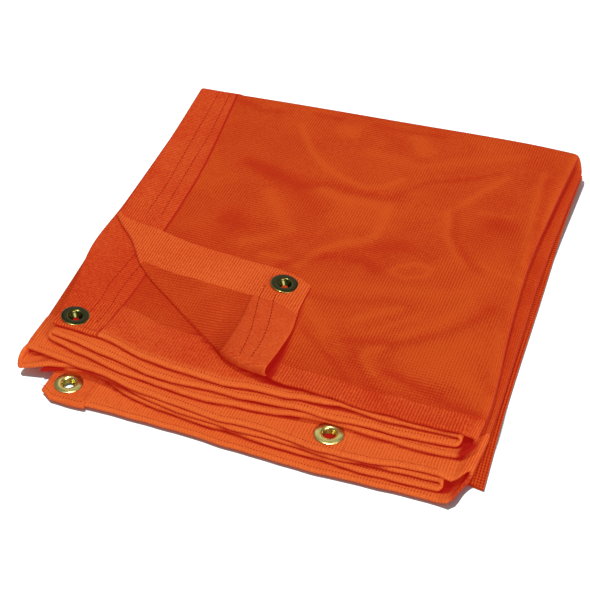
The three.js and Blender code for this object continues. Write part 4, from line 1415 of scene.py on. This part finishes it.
class TARP_OT_stage(bpy.types.Operator):
    """Set the pale floor, the light and the camera"""
    bl_idname = "tarp.stage"
    bl_label = "Stage"

    def execute(self, context):
        look = context.scene.tarp_stage
        bpy.ops.mesh.primitive_plane_add(size=FLOOR["size"], location=(0, 0, -FLOOR["drop"]))
        floor = bpy.context.active_object
        floor.name = "floor"
        floor.data.materials.append(MATERIALS["floor"])
        world = bpy.data.worlds.new("studio")
        world.use_nodes = True
        background = world.node_tree.nodes["Background"]
        background.inputs[0].default_value = (1, 1, 1, 1)
        background.inputs[1].default_value = look.fill
        context.scene.world = world
        # One key light for the tarp and one for the floor, so that the shadow lies as in the photograph
        suns = {name: sun(name, getattr(look, name), *SUNS[name]) for name in SUNS}
        softbox = bpy.data.lights.new("softbox", "AREA")
        softbox.energy = look.softbox
        softbox.size = SOFTBOX["size"]
        away = Vector(SOFTBOX["away"])
        aimed("softbox", softbox, -away, away * SOFTBOX["distance"])
        suns["floor_key"].light_linking.receiver_collection = floor_group("on_floor", floor)
        off_floor = floor_group("off_floor", floor)
        for name in ("front", "key"):
            suns[name].light_linking.receiver_collection = off_floor
        off_floor.collection_objects[0].light_linking.link_state = "EXCLUDE"
        self.add_camera(context)
        context.scene.view_settings.view_transform = "Standard"
        return {"FINISHED"}

    def add_camera(self, context):
        """The camera that matches the photograph's view."""
        azimuth, elevation = math.radians(CAMERA["azimuth"]), math.radians(CAMERA["elevation"])
        away = Vector((math.sin(azimuth) * math.cos(elevation),
                       -math.cos(azimuth) * math.cos(elevation), math.sin(elevation)))
        aim = Vector((np.array(CAMERA["aim"]) - STACK_CENTRE) * MM)
        lens = bpy.data.cameras.new("camera")
        lens.sensor_width = CAMERA["sensor"]
        lens.lens = CAMERA["focal_pixels"] / CAMERA["photo_pixels"] * CAMERA["sensor"]
        lens.clip_start = 0.01
        context.scene.camera = aimed("camera", lens, -away, aim + away * CAMERA["distance"])


class TARP_PT_panel(bpy.types.Panel):
    """Settings and buttons of the tarp"""
    bl_label = "Folded mesh tarp"
    bl_idname = "TARP_PT_panel"
    bl_space_type = "VIEW_3D"
    bl_region_type = "UI"
    bl_category = "Tarp"

    def draw(self, context):
        for name, group in GROUPS.items():
            box = self.layout.box()
            for setting in group.__annotations__:
                box.prop(getattr(context.scene, name), setting)
        for operator in OPERATORS:
            self.layout.operator(operator.bl_idname)


OPERATORS = (TARP_OT_materials, TARP_OT_cloth, TARP_OT_strips, TARP_OT_corner, TARP_OT_base,
             TARP_OT_eyelets, TARP_OT_stitches, TARP_OT_stage)
GROUPS = {"tarp_cloth": TarpCloth, "tarp_metal": TarpMetal, "tarp_stage": TarpStage}


def register():
    for cls in (*GROUPS.values(), *OPERATORS, TARP_PT_panel):
        bpy.utils.register_class(cls)
    for name, group in GROUPS.items():
        setattr(bpy.types.Scene, name, bpy.props.PointerProperty(type=group))


def unregister():
    for name in GROUPS:
        delattr(bpy.types.Scene, name)
    for cls in (TARP_PT_panel, *reversed(OPERATORS), *GROUPS.values()):
        bpy.utils.unregister_class(cls)


def main():
    register()
    bpy.ops.tarp.materials()
    bpy.ops.tarp.cloth()
    bpy.ops.tarp.strips()
    bpy.ops.tarp.corner()
    bpy.ops.tarp.base()
    bpy.ops.tarp.eyelets()
    bpy.ops.tarp.stitches()
    bpy.ops.tarp.stage()


if __name__ == "__main__":
    main()
